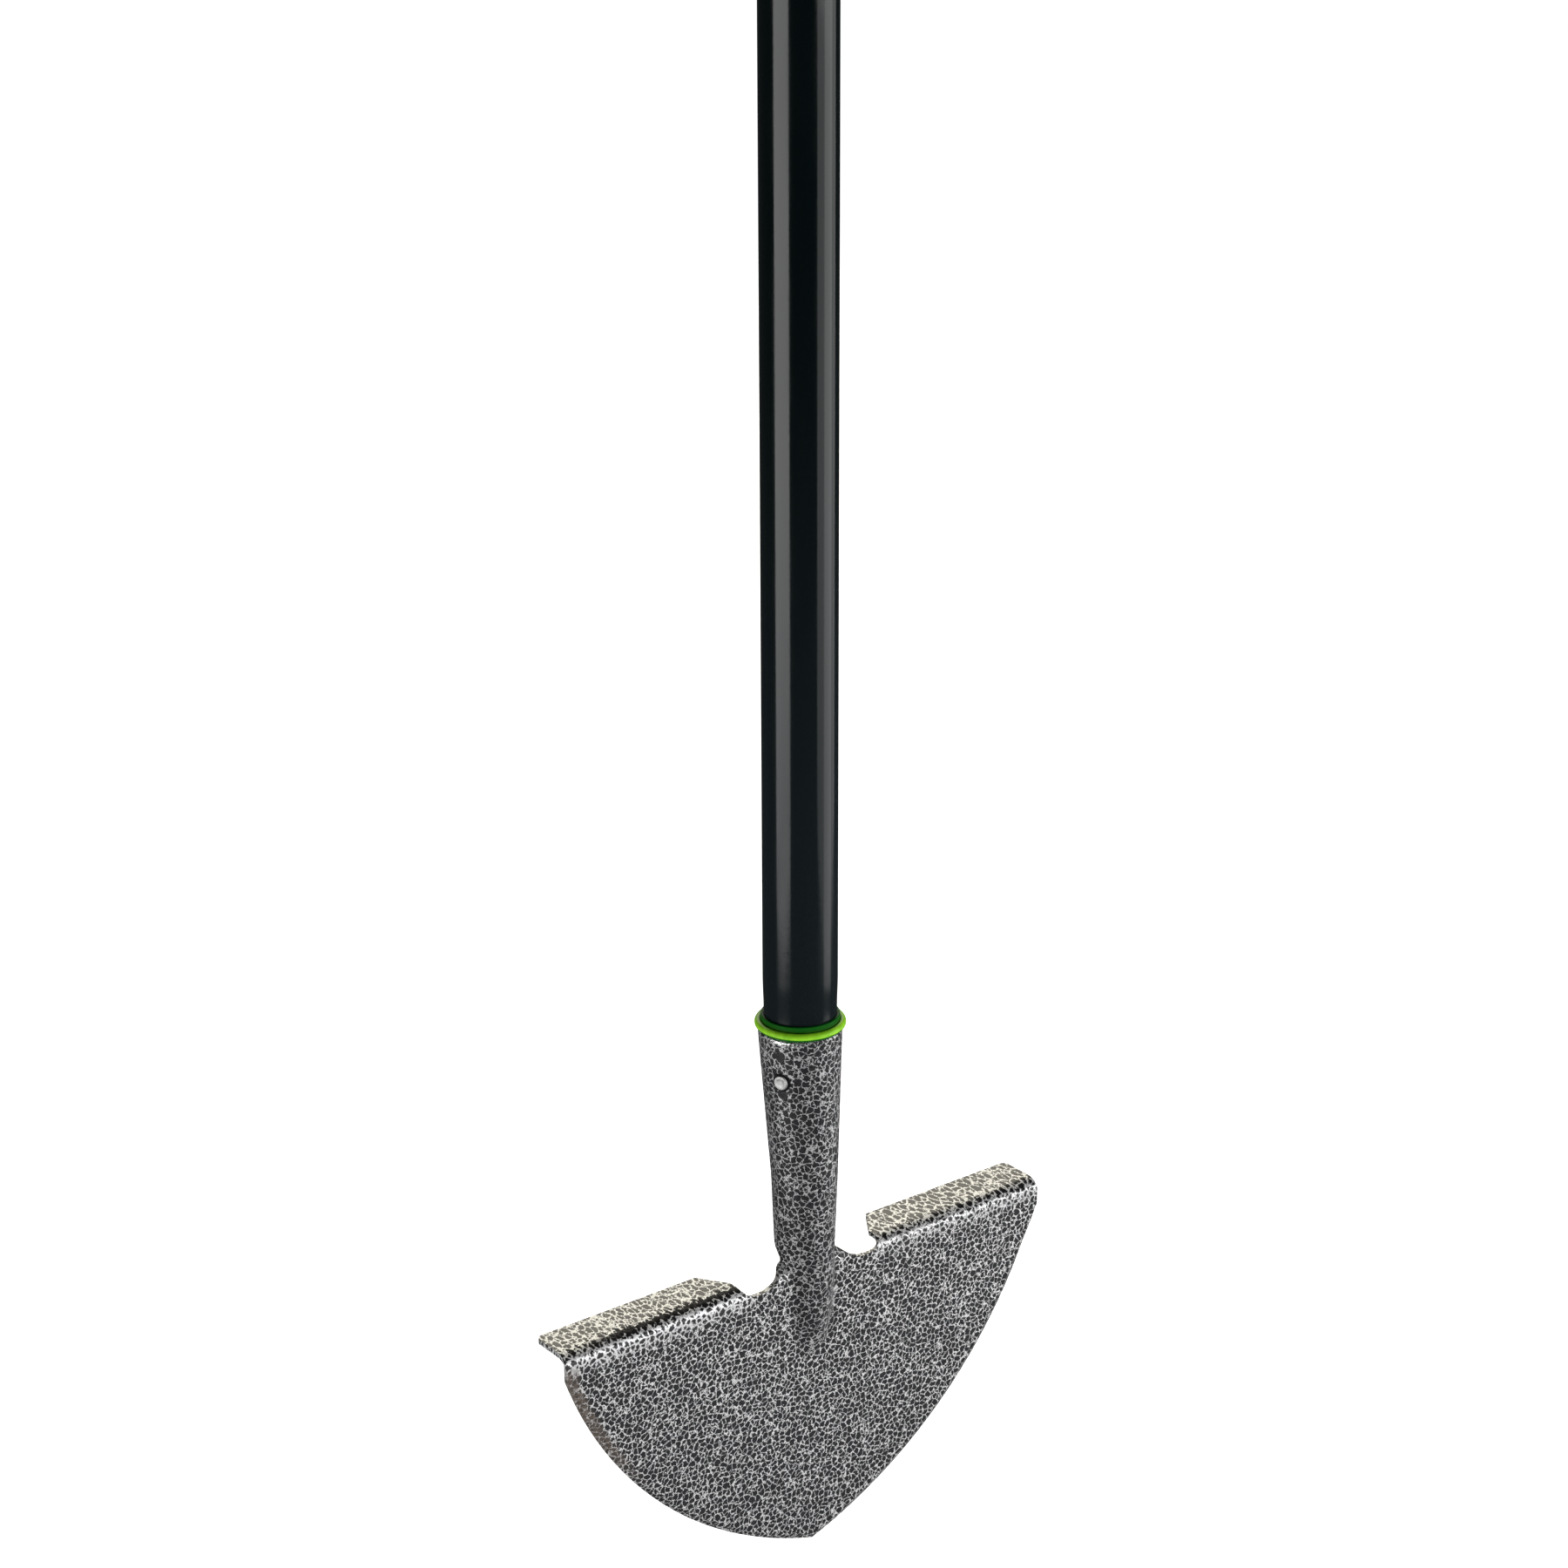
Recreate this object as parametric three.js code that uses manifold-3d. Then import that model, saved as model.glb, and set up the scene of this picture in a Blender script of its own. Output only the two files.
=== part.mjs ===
// Half-moon lawn edging iron: a pressed steel head riveted to a sleeved steel tube.
// Units are millimetres. The origin is the cutting tip, on the shaft's axis.
// +Z runs up the shaft, -Y is the front face of the blade and +X is to its right.

import * as THREE from 'three';
import { mergeVertices } from 'three/addons/utils/BufferGeometryUtils.js';
import Module from 'manifold-3d';

const wasm = await Module();
wasm.setup();

// ---- Pressed head: blade, treads and socket, all one sheet ----
const SHEET = 2;
const TREAD_TOP = 116.9;
const BLADE_HALF_WIDTH = 110;
const BLADE_FACE_Y = -8.05;
const EDGE_CENTRE_X = 50.7;
const EDGE_CENTRE_Z = 162.2;
const BEVEL_WIDTH = 2.4;
const BEVEL_DEPTH = 1.3;
const BEVEL_RUN_OUT = 14;

// ---- Treads: the top of the blade folded back, each side of the socket ----
const TREAD_DEPTH = 19.4;
const FOLD_HEIGHT = 4;
const FOLD_DEPTH = 6;
const TREAD_CORNER = 2.5;
const NOTCH_X = 25.5;
const NOTCH_RADIUS = 7;
const TREAD_END_STRAIGHT = 8;
const TREAD_END_SLANT = 0.68;

// ---- Socket and the ridge that carries it down the blade ----
const RIM_Z = TREAD_TOP + 93.5;
const KNEE_Z = TREAD_TOP + 35;
const LEAN_TOP_Z = TREAD_TOP + 88;
const RIM_RADIUS = 15.35;
const KNEE_RADIUS = 12.2;
const NECK_RADIUS = 10.9;
const SOCKET_LEAN = 2.3;
const RIDGE_LENGTH = 37;
const ROOT_FILLET = 4;
const NECK_NOTCH_WIDTH = 10;
const NECK_NOTCH_HEIGHT = 6;
const ROLL_START_Z = TREAD_TOP - 2;
const ROLL_END_Z = TREAD_TOP + 14;
const SEAM_START_Z = TREAD_TOP + 16;
const SEAM_GAP = 0.8;

// ---- Shaft ----
const TUBE_RADIUS = 12.7;
const TUBE_WALL = 1.2;
const TUBE_BOTTOM = TREAD_TOP + 22;
const TUBE_TOP = 940;
const SLEEVE_INNER = 12.9;
const SLEEVE_OUTER = 13.5;
const CLEARANCE = 0.3;

// ---- Collar ----
const COLLAR_BORE = 13.75;
const COLLAR_NECK = 14.3;
const BEAD_RADIUS = 1.5;
const BEAD_CENTRE_R = 15.05;
const BEAD_CENTRE_Z = RIM_Z + CLEARANCE + BEAD_RADIUS;
const COLLAR_TOP = BEAD_CENTRE_Z + 3.5;
const COLLAR_EDGE_DROP = 0.4;
const COLLAR_EDGE_INSET = 0.2;
const BEAD_END_DEGREES = 120;

// ---- Rivet through the socket and the tube ----
const RIVET_Z = TREAD_TOP + 77;
const RIVET_TURN = THREE.MathUtils.degToRad(-67);
const RIVET_SHANK = 1.9;
const RIVET_HEAD = 2.65;
const RIVET_HEAD_HEIGHT = 0.8;
const RIVET_CHAMFER = 0.3;

// ---- Hand grip and end cap ----
const GRIP_BOTTOM = 792;
const GRIP_TOP = TUBE_TOP + 1;
const GRIP_BORE = SLEEVE_OUTER + CLEARANCE;
const GRIP_RADIUS = 16;
const GRIP_LIP_RADIUS = 17;
const GRIP_LIP_HEIGHT = 5;
const GRIP_RIBS = 7;
const GRIP_RIB_PITCH = 15;
const GRIP_GROOVE = 0.9;
const GRIP_GROOVE_HALF = 2;
const GRIP_CHAMFER = 1;
const CAP_RADIUS = 17;
const CAP_FLANGE = 5;
const CAP_ROUND = 2;
const CAP_CHAMFER = 0.5;
const CAP_DOME = 1;
const CAP_STEM = 22;
const STEM_CHAMFER = 1;
const EYE_RADIUS = 10;
const EYE_HOLE = 4.75;
const EYE_THICKNESS = 8;
const EYE_RISE = 12;
const EYE_ROOT = 2;
const EYE_CHAMFER = 1;

// ---- How finely the surfaces are divided ----
const ROUND_SEGMENTS = 36;
const RIVET_SEGMENTS = 28;
const HOLE_SEGMENTS = 20;
const BEAD_STEPS = 8;
const CAP_STEPS = 4;
const EYE_STEPS = 10;
const ARC_COLUMNS = 8;
const FILLET_COLUMNS = 2;
const STRIP_EDGE_COLUMNS = 2;
const FLAT_COLUMNS = 3;
const LOWER_ROWS = 10;
const RIDGE_ROWS = 8;
const NOTCH_ROWS = 6;
const WING_ROWS = 7;
const FOLD_ROWS = 8;
const CORNER_ROWS = 4;
const WELD_DISTANCE = 1e-4;

const { clamp, lerp, smoothstep } = THREE.MathUtils;
const edgeRadius = Math.hypot(EDGE_CENTRE_X, EDGE_CENTRE_Z);
const foldLength = Math.PI / 4 * (FOLD_HEIGHT + FOLD_DEPTH);
const slantStart = foldLength + TREAD_END_STRAIGHT - FOLD_DEPTH;
const notchBottom = TREAD_TOP - FOLD_HEIGHT;
const neckTop = notchBottom + NECK_NOTCH_HEIGHT;
const ridgeEnd = TREAD_TOP - RIDGE_LENGTH;
const neckFrontY = -SOCKET_LEAN - NECK_RADIUS;
const ridgeHeightAtTread = BLADE_FACE_Y - neckFrontY;
const stripColumns = 2 * (ARC_COLUMNS + FILLET_COLUMNS + STRIP_EDGE_COLUMNS);
const shoulderReach = BLADE_HALF_WIDTH + EDGE_CENTRE_X;
const shoulderZ = EDGE_CENTRE_Z - Math.sqrt(edgeRadius ** 2 - shoulderReach ** 2);

// Evenly spaced values from start to end, both included.
function spaced(start, end, steps) {
  return Array.from({ length: steps + 1 }, (_, i) => lerp(start, end, i / steps));
}

// The socket tapers fast from the rim to the knee, then slowly to the neck.
function socketRadius(z) {
  if (z > KNEE_Z) return lerp(KNEE_RADIUS, RIM_RADIUS, (z - KNEE_Z) / (RIM_Z - KNEE_Z));
  return lerp(NECK_RADIUS, KNEE_RADIUS, clamp((z - TREAD_TOP) / (KNEE_Z - TREAD_TOP), 0, 1));
}

// Its centre line leans forward, so that its front runs down into the blade.
function socketCentreY(z) {
  return -SOCKET_LEAN * clamp((LEAN_TOP_Z - z) / (LEAN_TOP_Z - KNEE_Z), 0, 1);
}

// How far the ridge stands out of the blade's face.
function ridgeHeight(z) {
  const along = clamp((TREAD_TOP - z) / RIDGE_LENGTH, 0, 1);
  return ridgeHeightAtTread * (1 - along ** 2);
}

// Angle that the rolled arc turns through each side before the root fillet.
function rollAngle(z) {
  const open = Math.acos(1 - ridgeHeight(z) / (NECK_RADIUS + ROOT_FILLET));
  return lerp(open, Math.PI, smoothstep(z, ROLL_START_Z, ROLL_END_Z));
}

// Sheet length that the arc and fillet take up beyond their width.
function rollTakeUp(angle) {
  return (NECK_RADIUS + ROOT_FILLET) * (angle - Math.sin(angle));
}

// Half width of the rolled strip, measured along the sheet.
function stripHalfWidth(z, flatEdge) {
  if (z <= notchBottom) return flatEdge + rollTakeUp(rollAngle(z));
  const rise = clamp((z - notchBottom) / NECK_NOTCH_HEIGHT, 0, 1);
  const neck = NOTCH_X - NECK_NOTCH_WIDTH * Math.sqrt(1 - (1 - rise) ** 2);
  const open = neck + rollTakeUp(rollAngle(notchBottom));
  const closed = Math.PI * socketRadius(z) - SEAM_GAP / 2;
  return lerp(open, closed, smoothstep(z, neckTop, SEAM_START_Z));
}

// Columns of the strip, as distances along the sheet from its left edge to its right.
// On the blade they follow the arc and the fillet; up the socket they spread out evenly.
function stripStations(half, z) {
  const arcEnd = Math.min(socketRadius(z) * rollAngle(z), half);
  const filletEnd = Math.min((socketRadius(z) + ROOT_FILLET) * rollAngle(z), half);
  const followed = [
    ...spaced(0, arcEnd, ARC_COLUMNS),
    ...spaced(arcEnd, filletEnd, FILLET_COLUMNS).slice(1),
    ...spaced(filletEnd, half, STRIP_EDGE_COLUMNS).slice(1),
  ];
  const even = spaced(0, half, followed.length - 1);
  const evenness = smoothstep(z, notchBottom, SEAM_START_Z);
  const right = followed.map((s, i) => lerp(s, even[i], evenness));
  return [...right.slice(1).reverse().map((s) => -s), ...right];
}

// Outer surface of the rolled strip, s along the sheet from the front centre line.
function stripPoint(s, z) {
  const radius = socketRadius(z);
  const angle = rollAngle(z);
  const frontY = z < TREAD_TOP ? BLADE_FACE_Y - ridgeHeight(z) : socketCentreY(z) - radius;
  const side = Math.sign(s);
  const length = Math.abs(s);
  const arcX = radius * Math.sin(angle);
  const arcY = frontY + radius * (1 - Math.cos(angle));
  if (length <= radius * angle) {
    const turn = length / radius;
    const y = frontY + radius * (1 - Math.cos(turn));
    return surface(side * radius * Math.sin(turn), y, z, side * Math.sin(turn), -Math.cos(turn), 0);
  }
  const turn = Math.max(angle - (length - radius * angle) / ROOT_FILLET, 0);
  const flat = Math.max(length - (radius + ROOT_FILLET) * angle, 0);
  const x = arcX + ROOT_FILLET * (Math.sin(angle) - Math.sin(turn)) + flat;
  const y = arcY + ROOT_FILLET * (Math.cos(turn) - Math.cos(angle));
  return surface(side * x, y, z, side * Math.sin(turn), -Math.cos(turn), 0);
}

// A point of the sheet: its outer face, the outward normal and the inner face behind it.
function surface(x, y, z, nx, ny, nz, depth = 0) {
  const outer = new THREE.Vector3(x - depth * nx, y - depth * ny, z - depth * nz);
  const inner = new THREE.Vector3(x - SHEET * nx, y - SHEET * ny, z - SHEET * nz);
  return { outer, inner };
}

function bladePoint(x, z, depth = 0) {
  return surface(x, BLADE_FACE_Y, z, 0, -1, 0, depth);
}

function bevelFade(z) {
  return clamp((shoulderZ - z) / BEVEL_RUN_OUT, 0, 1);
}

function edgeHalfWidth(z, inset) {
  const reach = Math.sqrt((edgeRadius - inset) ** 2 - (z - EDGE_CENTRE_Z) ** 2) - EDGE_CENTRE_X;
  return z > shoulderZ ? BLADE_HALF_WIDTH : reach;
}

// The blade's outline beside a point on the inner edge of the ground bevel.
function outlinePoint(innerX, z) {
  if (innerX === 0) return bladePoint(0, 0, BEVEL_DEPTH);
  const fade = bevelFade(z);
  if (fade === 0) return bladePoint(innerX, z);
  const dx = Math.abs(innerX) + EDGE_CENTRE_X;
  const dz = z - EDGE_CENTRE_Z;
  const grow = edgeRadius / Math.hypot(dx, dz);
  const x = Math.sign(innerX) * (dx * grow - EDGE_CENTRE_X);
  return bladePoint(x, EDGE_CENTRE_Z + dz * grow, BEVEL_DEPTH * fade);
}

function bladeRow(z) {
  const half = edgeHalfWidth(z, BEVEL_WIDTH * bevelFade(z));
  const fullHalf = edgeHalfWidth(ridgeEnd, BEVEL_WIDTH);
  const stripEdge = z < ridgeEnd ? NOTCH_X * half / fullHalf : NOTCH_X;
  const flat = spaced(half, stripEdge, FLAT_COLUMNS).slice(0, -1);
  return [
    outlinePoint(-half, z),
    ...flat.map((x) => bladePoint(-x, z)),
    ...stripStations(stripHalfWidth(z, stripEdge), z).map((s) => stripPoint(s, z)),
    ...flat.reverse().map((x) => bladePoint(x, z)),
    outlinePoint(half, z),
  ];
}

function tipRow(z) {
  const columns = stripColumns + 2 * FLAT_COLUMNS + 1;
  const row = Array.from({ length: columns }, () => bladePoint(0, z));
  return [outlinePoint(0, z), ...row, outlinePoint(0, z)];
}

function bladeRows() {
  const innerTip = EDGE_CENTRE_Z - Math.sqrt((edgeRadius - BEVEL_WIDTH) ** 2 - EDGE_CENTRE_X ** 2);
  const lower = spaced(innerTip, ridgeEnd, LOWER_ROWS).slice(1, -1);
  const topTurn = Math.asin(FOLD_HEIGHT / RIDGE_LENGTH);
  const turns = spaced(Math.PI / 2, topTurn, RIDGE_ROWS);
  const ridge = turns.map((turn) => TREAD_TOP - RIDGE_LENGTH * Math.sin(turn));
  return [tipRow(innerTip), ...lower.map(bladeRow), ...ridge.map(bladeRow)];
}

function stripRow(z) {
  return stripStations(stripHalfWidth(z, NOTCH_X), z).map((s) => stripPoint(s, z));
}

function socketRows() {
  const turns = spaced(0, Math.PI / 2, NOTCH_ROWS);
  const notch = turns.map((turn) => notchBottom + NECK_NOTCH_HEIGHT * (1 - Math.cos(turn)));
  const wing = spaced(neckTop, SEAM_START_Z, WING_ROWS).slice(1);
  return [...notch, ...wing, KNEE_Z, LEAN_TOP_Z, RIM_Z].map(stripRow);
}

// A point of the tread's sheet, v along the sheet from the foot of the fold.
function treadPoint(x, v) {
  const turn = Math.PI / 2 * Math.min(v / foldLength, 1);
  const flat = Math.max(v - foldLength, 0);
  const y = BLADE_FACE_Y + FOLD_DEPTH * (1 - Math.cos(turn)) + flat;
  const z = notchBottom + FOLD_HEIGHT * Math.sin(turn);
  const normal = new THREE.Vector3(0, -FOLD_HEIGHT * Math.cos(turn), FOLD_DEPTH * Math.sin(turn)).normalize();
  return surface(x, y, z, normal.x, normal.y, normal.z);
}

// The tread's inner end: round at the notch, then straight, then slanting out to its back edge.
function treadInnerX(v) {
  if (v < NOTCH_RADIUS) return NOTCH_X + Math.sqrt(NOTCH_RADIUS ** 2 - (NOTCH_RADIUS - v) ** 2);
  return NOTCH_X + NOTCH_RADIUS + Math.max(v - slantStart, 0) * TREAD_END_SLANT;
}

function treadRow(side, v, outerX) {
  const row = spaced(treadInnerX(v), outerX, FLAT_COLUMNS).map((x) => treadPoint(side * x, v));
  return side > 0 ? row : row.reverse();
}

function treadRows(side) {
  const length = foldLength + TREAD_DEPTH - FOLD_DEPTH;
  // The first rows crowd together, where the notch's round end starts level.
  const crowded = spaced(0, 1, FOLD_ROWS).map((t) => foldLength * t ** 1.5);
  const fold = [...crowded, slantStart].map((v) => treadRow(side, v, BLADE_HALF_WIDTH));
  const corner = spaced(0, Math.PI / 2, CORNER_ROWS).map((turn) => {
    const v = length - TREAD_CORNER * (1 - Math.sin(turn));
    return treadRow(side, v, BLADE_HALF_WIDTH - TREAD_CORNER * (1 - Math.cos(turn)));
  });
  return [...fold, ...corner];
}

// Joins grids of sheet points into one closed body: outer face, inner face and cut edges.
function sheetBody(grids) {
  const points = [];
  const lookup = new Map();
  const indexOf = (point) => {
    const key = point.outer.toArray().map((c) => Math.round(c / WELD_DISTANCE)).join();
    if (!lookup.has(key)) {
      lookup.set(key, points.length);
      points.push(point);
    }
    return lookup.get(key);
  };
  const faces = [];
  const addFace = (a, b, c) => {
    if (a !== b && b !== c && c !== a) faces.push([a, b, c]);
  };
  for (const rows of grids) {
    const cells = rows.map((row) => row.map(indexOf));
    for (let r = 0; r + 1 < cells.length; r++) {
      for (let c = 0; c + 1 < cells[r].length; c++) {
        addFace(cells[r][c], cells[r][c + 1], cells[r + 1][c + 1]);
        addFace(cells[r][c], cells[r + 1][c + 1], cells[r + 1][c]);
      }
    }
  }
  const edges = new Set(faces.flatMap(([a, b, c]) => [`${a},${b}`, `${b},${c}`, `${c},${a}`]));
  const back = points.length;
  const index = [];
  for (const [a, b, c] of faces) index.push(a, b, c, back + a, back + c, back + b);
  for (const edge of edges) {
    const [a, b] = edge.split(',').map(Number);
    if (!edges.has(`${b},${a}`)) index.push(b, a, back + a, b, back + a, back + b);
  }
  const corners = [...points.map((p) => p.outer), ...points.map((p) => p.inner)];
  const geometry = new THREE.BufferGeometry().setFromPoints(corners);
  geometry.setIndex(index);
  return geometry;
}

// ---- Joins and cuts ----
function toSolid(geometry) {
  const plain = geometry.clone();
  plain.deleteAttribute('normal');
  plain.deleteAttribute('uv');
  const merged = mergeVertices(plain, WELD_DISTANCE);
  const vertProperties = new Float32Array(merged.attributes.position.array);
  const triVerts = new Uint32Array(merged.index.array);
  return new wasm.Manifold(new wasm.Mesh({ numProp: 3, vertProperties, triVerts }));
}

function toGeometry(solid) {
  const mesh = solid.getMesh();
  const geometry = new THREE.BufferGeometry();
  geometry.setAttribute('position', new THREE.BufferAttribute(mesh.vertProperties, 3));
  geometry.setIndex(new THREE.BufferAttribute(mesh.triVerts, 1));
  return geometry;
}

// Turns a profile of [radius, z] points, outer side upwards, about the Z axis.
function turned(profile, segments = ROUND_SEGMENTS) {
  const points = profile.map(([radius, z]) => new THREE.Vector2(radius, z));
  return new THREE.LatheGeometry(points, segments).rotateX(Math.PI / 2);
}

function arcPoints(centreR, centreZ, radius, fromDegrees, toDegrees, steps) {
  return spaced(fromDegrees, toDegrees, steps).map((degrees) => {
    const turn = THREE.MathUtils.degToRad(degrees);
    return [centreR + radius * Math.cos(turn), centreZ + radius * Math.sin(turn)];
  });
}

// Lays a piece made along Z on the rivet's axis.
function alongRivet(geometry) {
  return geometry.rotateX(Math.PI / 2).rotateZ(RIVET_TURN).translate(0, socketCentreY(RIVET_Z), RIVET_Z);
}

function rivetHole() {
  const length = 4 * RIM_RADIUS;
  const radius = RIVET_SHANK + CLEARANCE;
  const profile = [[0, -length / 2], [radius, -length / 2], [radius, length / 2], [0, length / 2]];
  return toSolid(alongRivet(turned(profile, HOLE_SEGMENTS)));
}

// ---- The pieces ----
function edgerHead() {
  const sheet = sheetBody([bladeRows(), socketRows(), treadRows(-1), treadRows(1)]);
  return toGeometry(toSolid(sheet).subtract(rivetHole()));
}

function socketRivet() {
  const seat = socketRadius(RIVET_Z) + CLEARANCE;
  const end = seat + RIVET_HEAD_HEIGHT;
  const upper = [
    [RIVET_SHANK, seat],
    [RIVET_HEAD, seat],
    [RIVET_HEAD, end - RIVET_CHAMFER],
    [RIVET_HEAD - RIVET_CHAMFER, end],
    [0, end],
  ];
  const lower = upper.map(([radius, z]) => [radius, -z]).reverse();
  return alongRivet(turned([...lower, ...upper], RIVET_SEGMENTS));
}

// The tube's lower end is swaged to follow the socket's bore, and leans with it.
function shaftTube() {
  const facetFactor = Math.cos(Math.PI / stripColumns);
  const outer = (z) => Math.min(TUBE_RADIUS, (socketRadius(z) - SHEET) * facetFactor - CLEARANCE);
  const heights = [TUBE_BOTTOM, ...spaced(KNEE_Z, LEAN_TOP_Z, 2), RIM_Z, TUBE_TOP];
  const outside = heights.map((z) => [outer(z), z]);
  const inside = heights.map((z) => [outer(z) - TUBE_WALL, z]).reverse();
  const geometry = turned([...outside, ...inside, outside[0]]);
  const position = geometry.attributes.position;
  for (let i = 0; i < position.count; i++) {
    position.setY(i, position.getY(i) + socketCentreY(position.getZ(i)));
  }
  return toGeometry(toSolid(geometry).subtract(rivetHole()));
}

function shaftSleeve() {
  const bottom = RIM_Z + CLEARANCE;
  return turned([
    [SLEEVE_INNER, bottom],
    [SLEEVE_OUTER, bottom],
    [SLEEVE_OUTER, TUBE_TOP],
    [SLEEVE_INNER, TUBE_TOP],
    [SLEEVE_INNER, bottom],
  ]);
}

function collar() {
  const bottom = BEAD_CENTRE_Z - BEAD_RADIUS;
  return turned([
    [COLLAR_BORE, bottom],
    ...arcPoints(BEAD_CENTRE_R, BEAD_CENTRE_Z, BEAD_RADIUS, -90, BEAD_END_DEGREES, BEAD_STEPS),
    [COLLAR_NECK, COLLAR_TOP - COLLAR_EDGE_DROP],
    [COLLAR_NECK - COLLAR_EDGE_INSET, COLLAR_TOP],
    [COLLAR_BORE, COLLAR_TOP],
    [COLLAR_BORE, bottom],
  ]);
}

// A soft sleeve with a lip at each end and shallow grooves between its ribs.
function handGrip() {
  const middle = (GRIP_BOTTOM + GRIP_TOP) / 2;
  const reach = (GRIP_RIBS - 1) / 2 * GRIP_RIB_PITCH;
  const grooves = spaced(middle - reach, middle + reach, GRIP_RIBS - 1).flatMap((z) => [
    [GRIP_RADIUS, z - GRIP_GROOVE_HALF],
    [GRIP_RADIUS - GRIP_GROOVE, z],
    [GRIP_RADIUS, z + GRIP_GROOVE_HALF],
  ]);
  return turned([
    [GRIP_BORE, GRIP_BOTTOM],
    [GRIP_LIP_RADIUS - GRIP_CHAMFER, GRIP_BOTTOM],
    [GRIP_LIP_RADIUS, GRIP_BOTTOM + GRIP_CHAMFER],
    [GRIP_LIP_RADIUS, GRIP_BOTTOM + GRIP_LIP_HEIGHT],
    [GRIP_RADIUS, GRIP_BOTTOM + 2 * GRIP_LIP_HEIGHT],
    ...grooves,
    [GRIP_RADIUS, GRIP_TOP - 2 * GRIP_LIP_HEIGHT],
    [GRIP_LIP_RADIUS, GRIP_TOP - GRIP_LIP_HEIGHT],
    [GRIP_LIP_RADIUS, GRIP_TOP],
    [GRIP_BORE, GRIP_TOP],
    [GRIP_BORE, GRIP_BOTTOM],
  ]);
}

// A plug for the tube's top, under a domed flange.
function capPlug(base) {
  const bottom = base - CAP_STEM;
  const stem = TUBE_RADIUS - TUBE_WALL - CLEARANCE;
  const roundZ = base + CAP_FLANGE - CAP_ROUND;
  return turned([
    [0, bottom],
    [stem - STEM_CHAMFER, bottom],
    [stem, bottom + STEM_CHAMFER],
    [stem, base],
    [CAP_RADIUS - CAP_CHAMFER, base],
    [CAP_RADIUS, base + CAP_CHAMFER],
    ...arcPoints(CAP_RADIUS - CAP_ROUND, roundZ, CAP_ROUND, 0, 90, CAP_STEPS),
    [0, base + CAP_FLANGE + CAP_DOME],
  ]);
}

// A flat eye that stands on the flange, for hanging the tool up.
function hangingEye(base) {
  const eyeZ = base + CAP_FLANGE + EYE_RISE;
  const foot = base + EYE_ROOT - eyeZ;
  const outline = new THREE.Shape();
  outline.moveTo(EYE_RADIUS, foot);
  outline.lineTo(EYE_RADIUS, 0);
  outline.absarc(0, 0, EYE_RADIUS, 0, Math.PI);
  outline.lineTo(-EYE_RADIUS, foot);
  outline.closePath();
  outline.holes.push(new THREE.Path().absarc(0, 0, EYE_HOLE, 0, 2 * Math.PI, true));
  const eye = new THREE.ExtrudeGeometry(outline, {
    depth: EYE_THICKNESS - 2 * EYE_CHAMFER,
    curveSegments: EYE_STEPS,
    bevelThickness: EYE_CHAMFER,
    bevelSize: EYE_CHAMFER,
    bevelOffset: -EYE_CHAMFER,
    bevelSegments: 1,
  });
  eye.translate(0, 0, EYE_CHAMFER - EYE_THICKNESS / 2);
  return eye.rotateX(Math.PI / 2).translate(0, 0, eyeZ);
}

function endCap() {
  const base = GRIP_TOP + CLEARANCE;
  return toGeometry(toSolid(capPlug(base)).add(toSolid(hangingEye(base))));
}

const finishes = {
  hammertone: { color: 0x6d6d70, metalness: 0.6, roughness: 0.35 },
  aluminium: { color: 0xc8c8c6, metalness: 0.9, roughness: 0.35 },
  steel: { color: 0x8f9296, metalness: 0.9, roughness: 0.4 },
  black_coating: { color: 0x1a2023, metalness: 0, roughness: 0.3 },
  green_plastic: { color: 0x6fb41a, metalness: 0, roughness: 0.35 },
  black_rubber: { color: 0x18191a, metalness: 0, roughness: 0.75 },
};

const edgingIron = new THREE.Group();

function addPiece(name, geometry, finish) {
  const piece = new THREE.Mesh(geometry, new THREE.MeshStandardMaterial(finishes[finish]));
  piece.name = name;
  edgingIron.add(piece);
}

addPiece('edger_head', edgerHead(), 'hammertone');
addPiece('socket_rivet', socketRivet(), 'aluminium');
addPiece('shaft_tube', shaftTube(), 'steel');
addPiece('shaft_sleeve', shaftSleeve(), 'black_coating');
addPiece('collar', collar(), 'green_plastic');
addPiece('hand_grip', handGrip(), 'black_rubber');
addPiece('end_cap', endCap(), 'green_plastic');

export default edgingIron;
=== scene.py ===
"""Looks of a half-moon lawn edging iron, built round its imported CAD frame.

The frame is in metres with +Z up the shaft, -Y the blade's front face and the cutting tip at the
origin. Shapes below are worked out in millimetres and scaled once, where their meshes are made.
"""

import math

import bmesh
import bpy
from mathutils import Matrix, Vector


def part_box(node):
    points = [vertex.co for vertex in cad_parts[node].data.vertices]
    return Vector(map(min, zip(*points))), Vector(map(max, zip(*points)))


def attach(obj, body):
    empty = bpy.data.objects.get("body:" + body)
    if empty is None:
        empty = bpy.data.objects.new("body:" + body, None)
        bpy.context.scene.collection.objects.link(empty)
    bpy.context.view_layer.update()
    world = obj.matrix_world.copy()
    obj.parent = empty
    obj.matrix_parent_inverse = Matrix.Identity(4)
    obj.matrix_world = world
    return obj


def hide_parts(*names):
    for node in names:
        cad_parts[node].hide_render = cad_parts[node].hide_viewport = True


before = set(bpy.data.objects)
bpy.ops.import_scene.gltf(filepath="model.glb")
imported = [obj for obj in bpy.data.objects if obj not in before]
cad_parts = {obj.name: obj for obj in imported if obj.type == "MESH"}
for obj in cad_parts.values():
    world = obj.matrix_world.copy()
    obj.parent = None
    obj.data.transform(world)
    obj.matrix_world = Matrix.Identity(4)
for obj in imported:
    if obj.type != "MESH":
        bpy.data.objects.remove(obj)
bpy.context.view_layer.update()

MM = 0.001
BODY = "root"


def box_mm(node):
    low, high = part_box(node)
    return low / MM, high / MM


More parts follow.
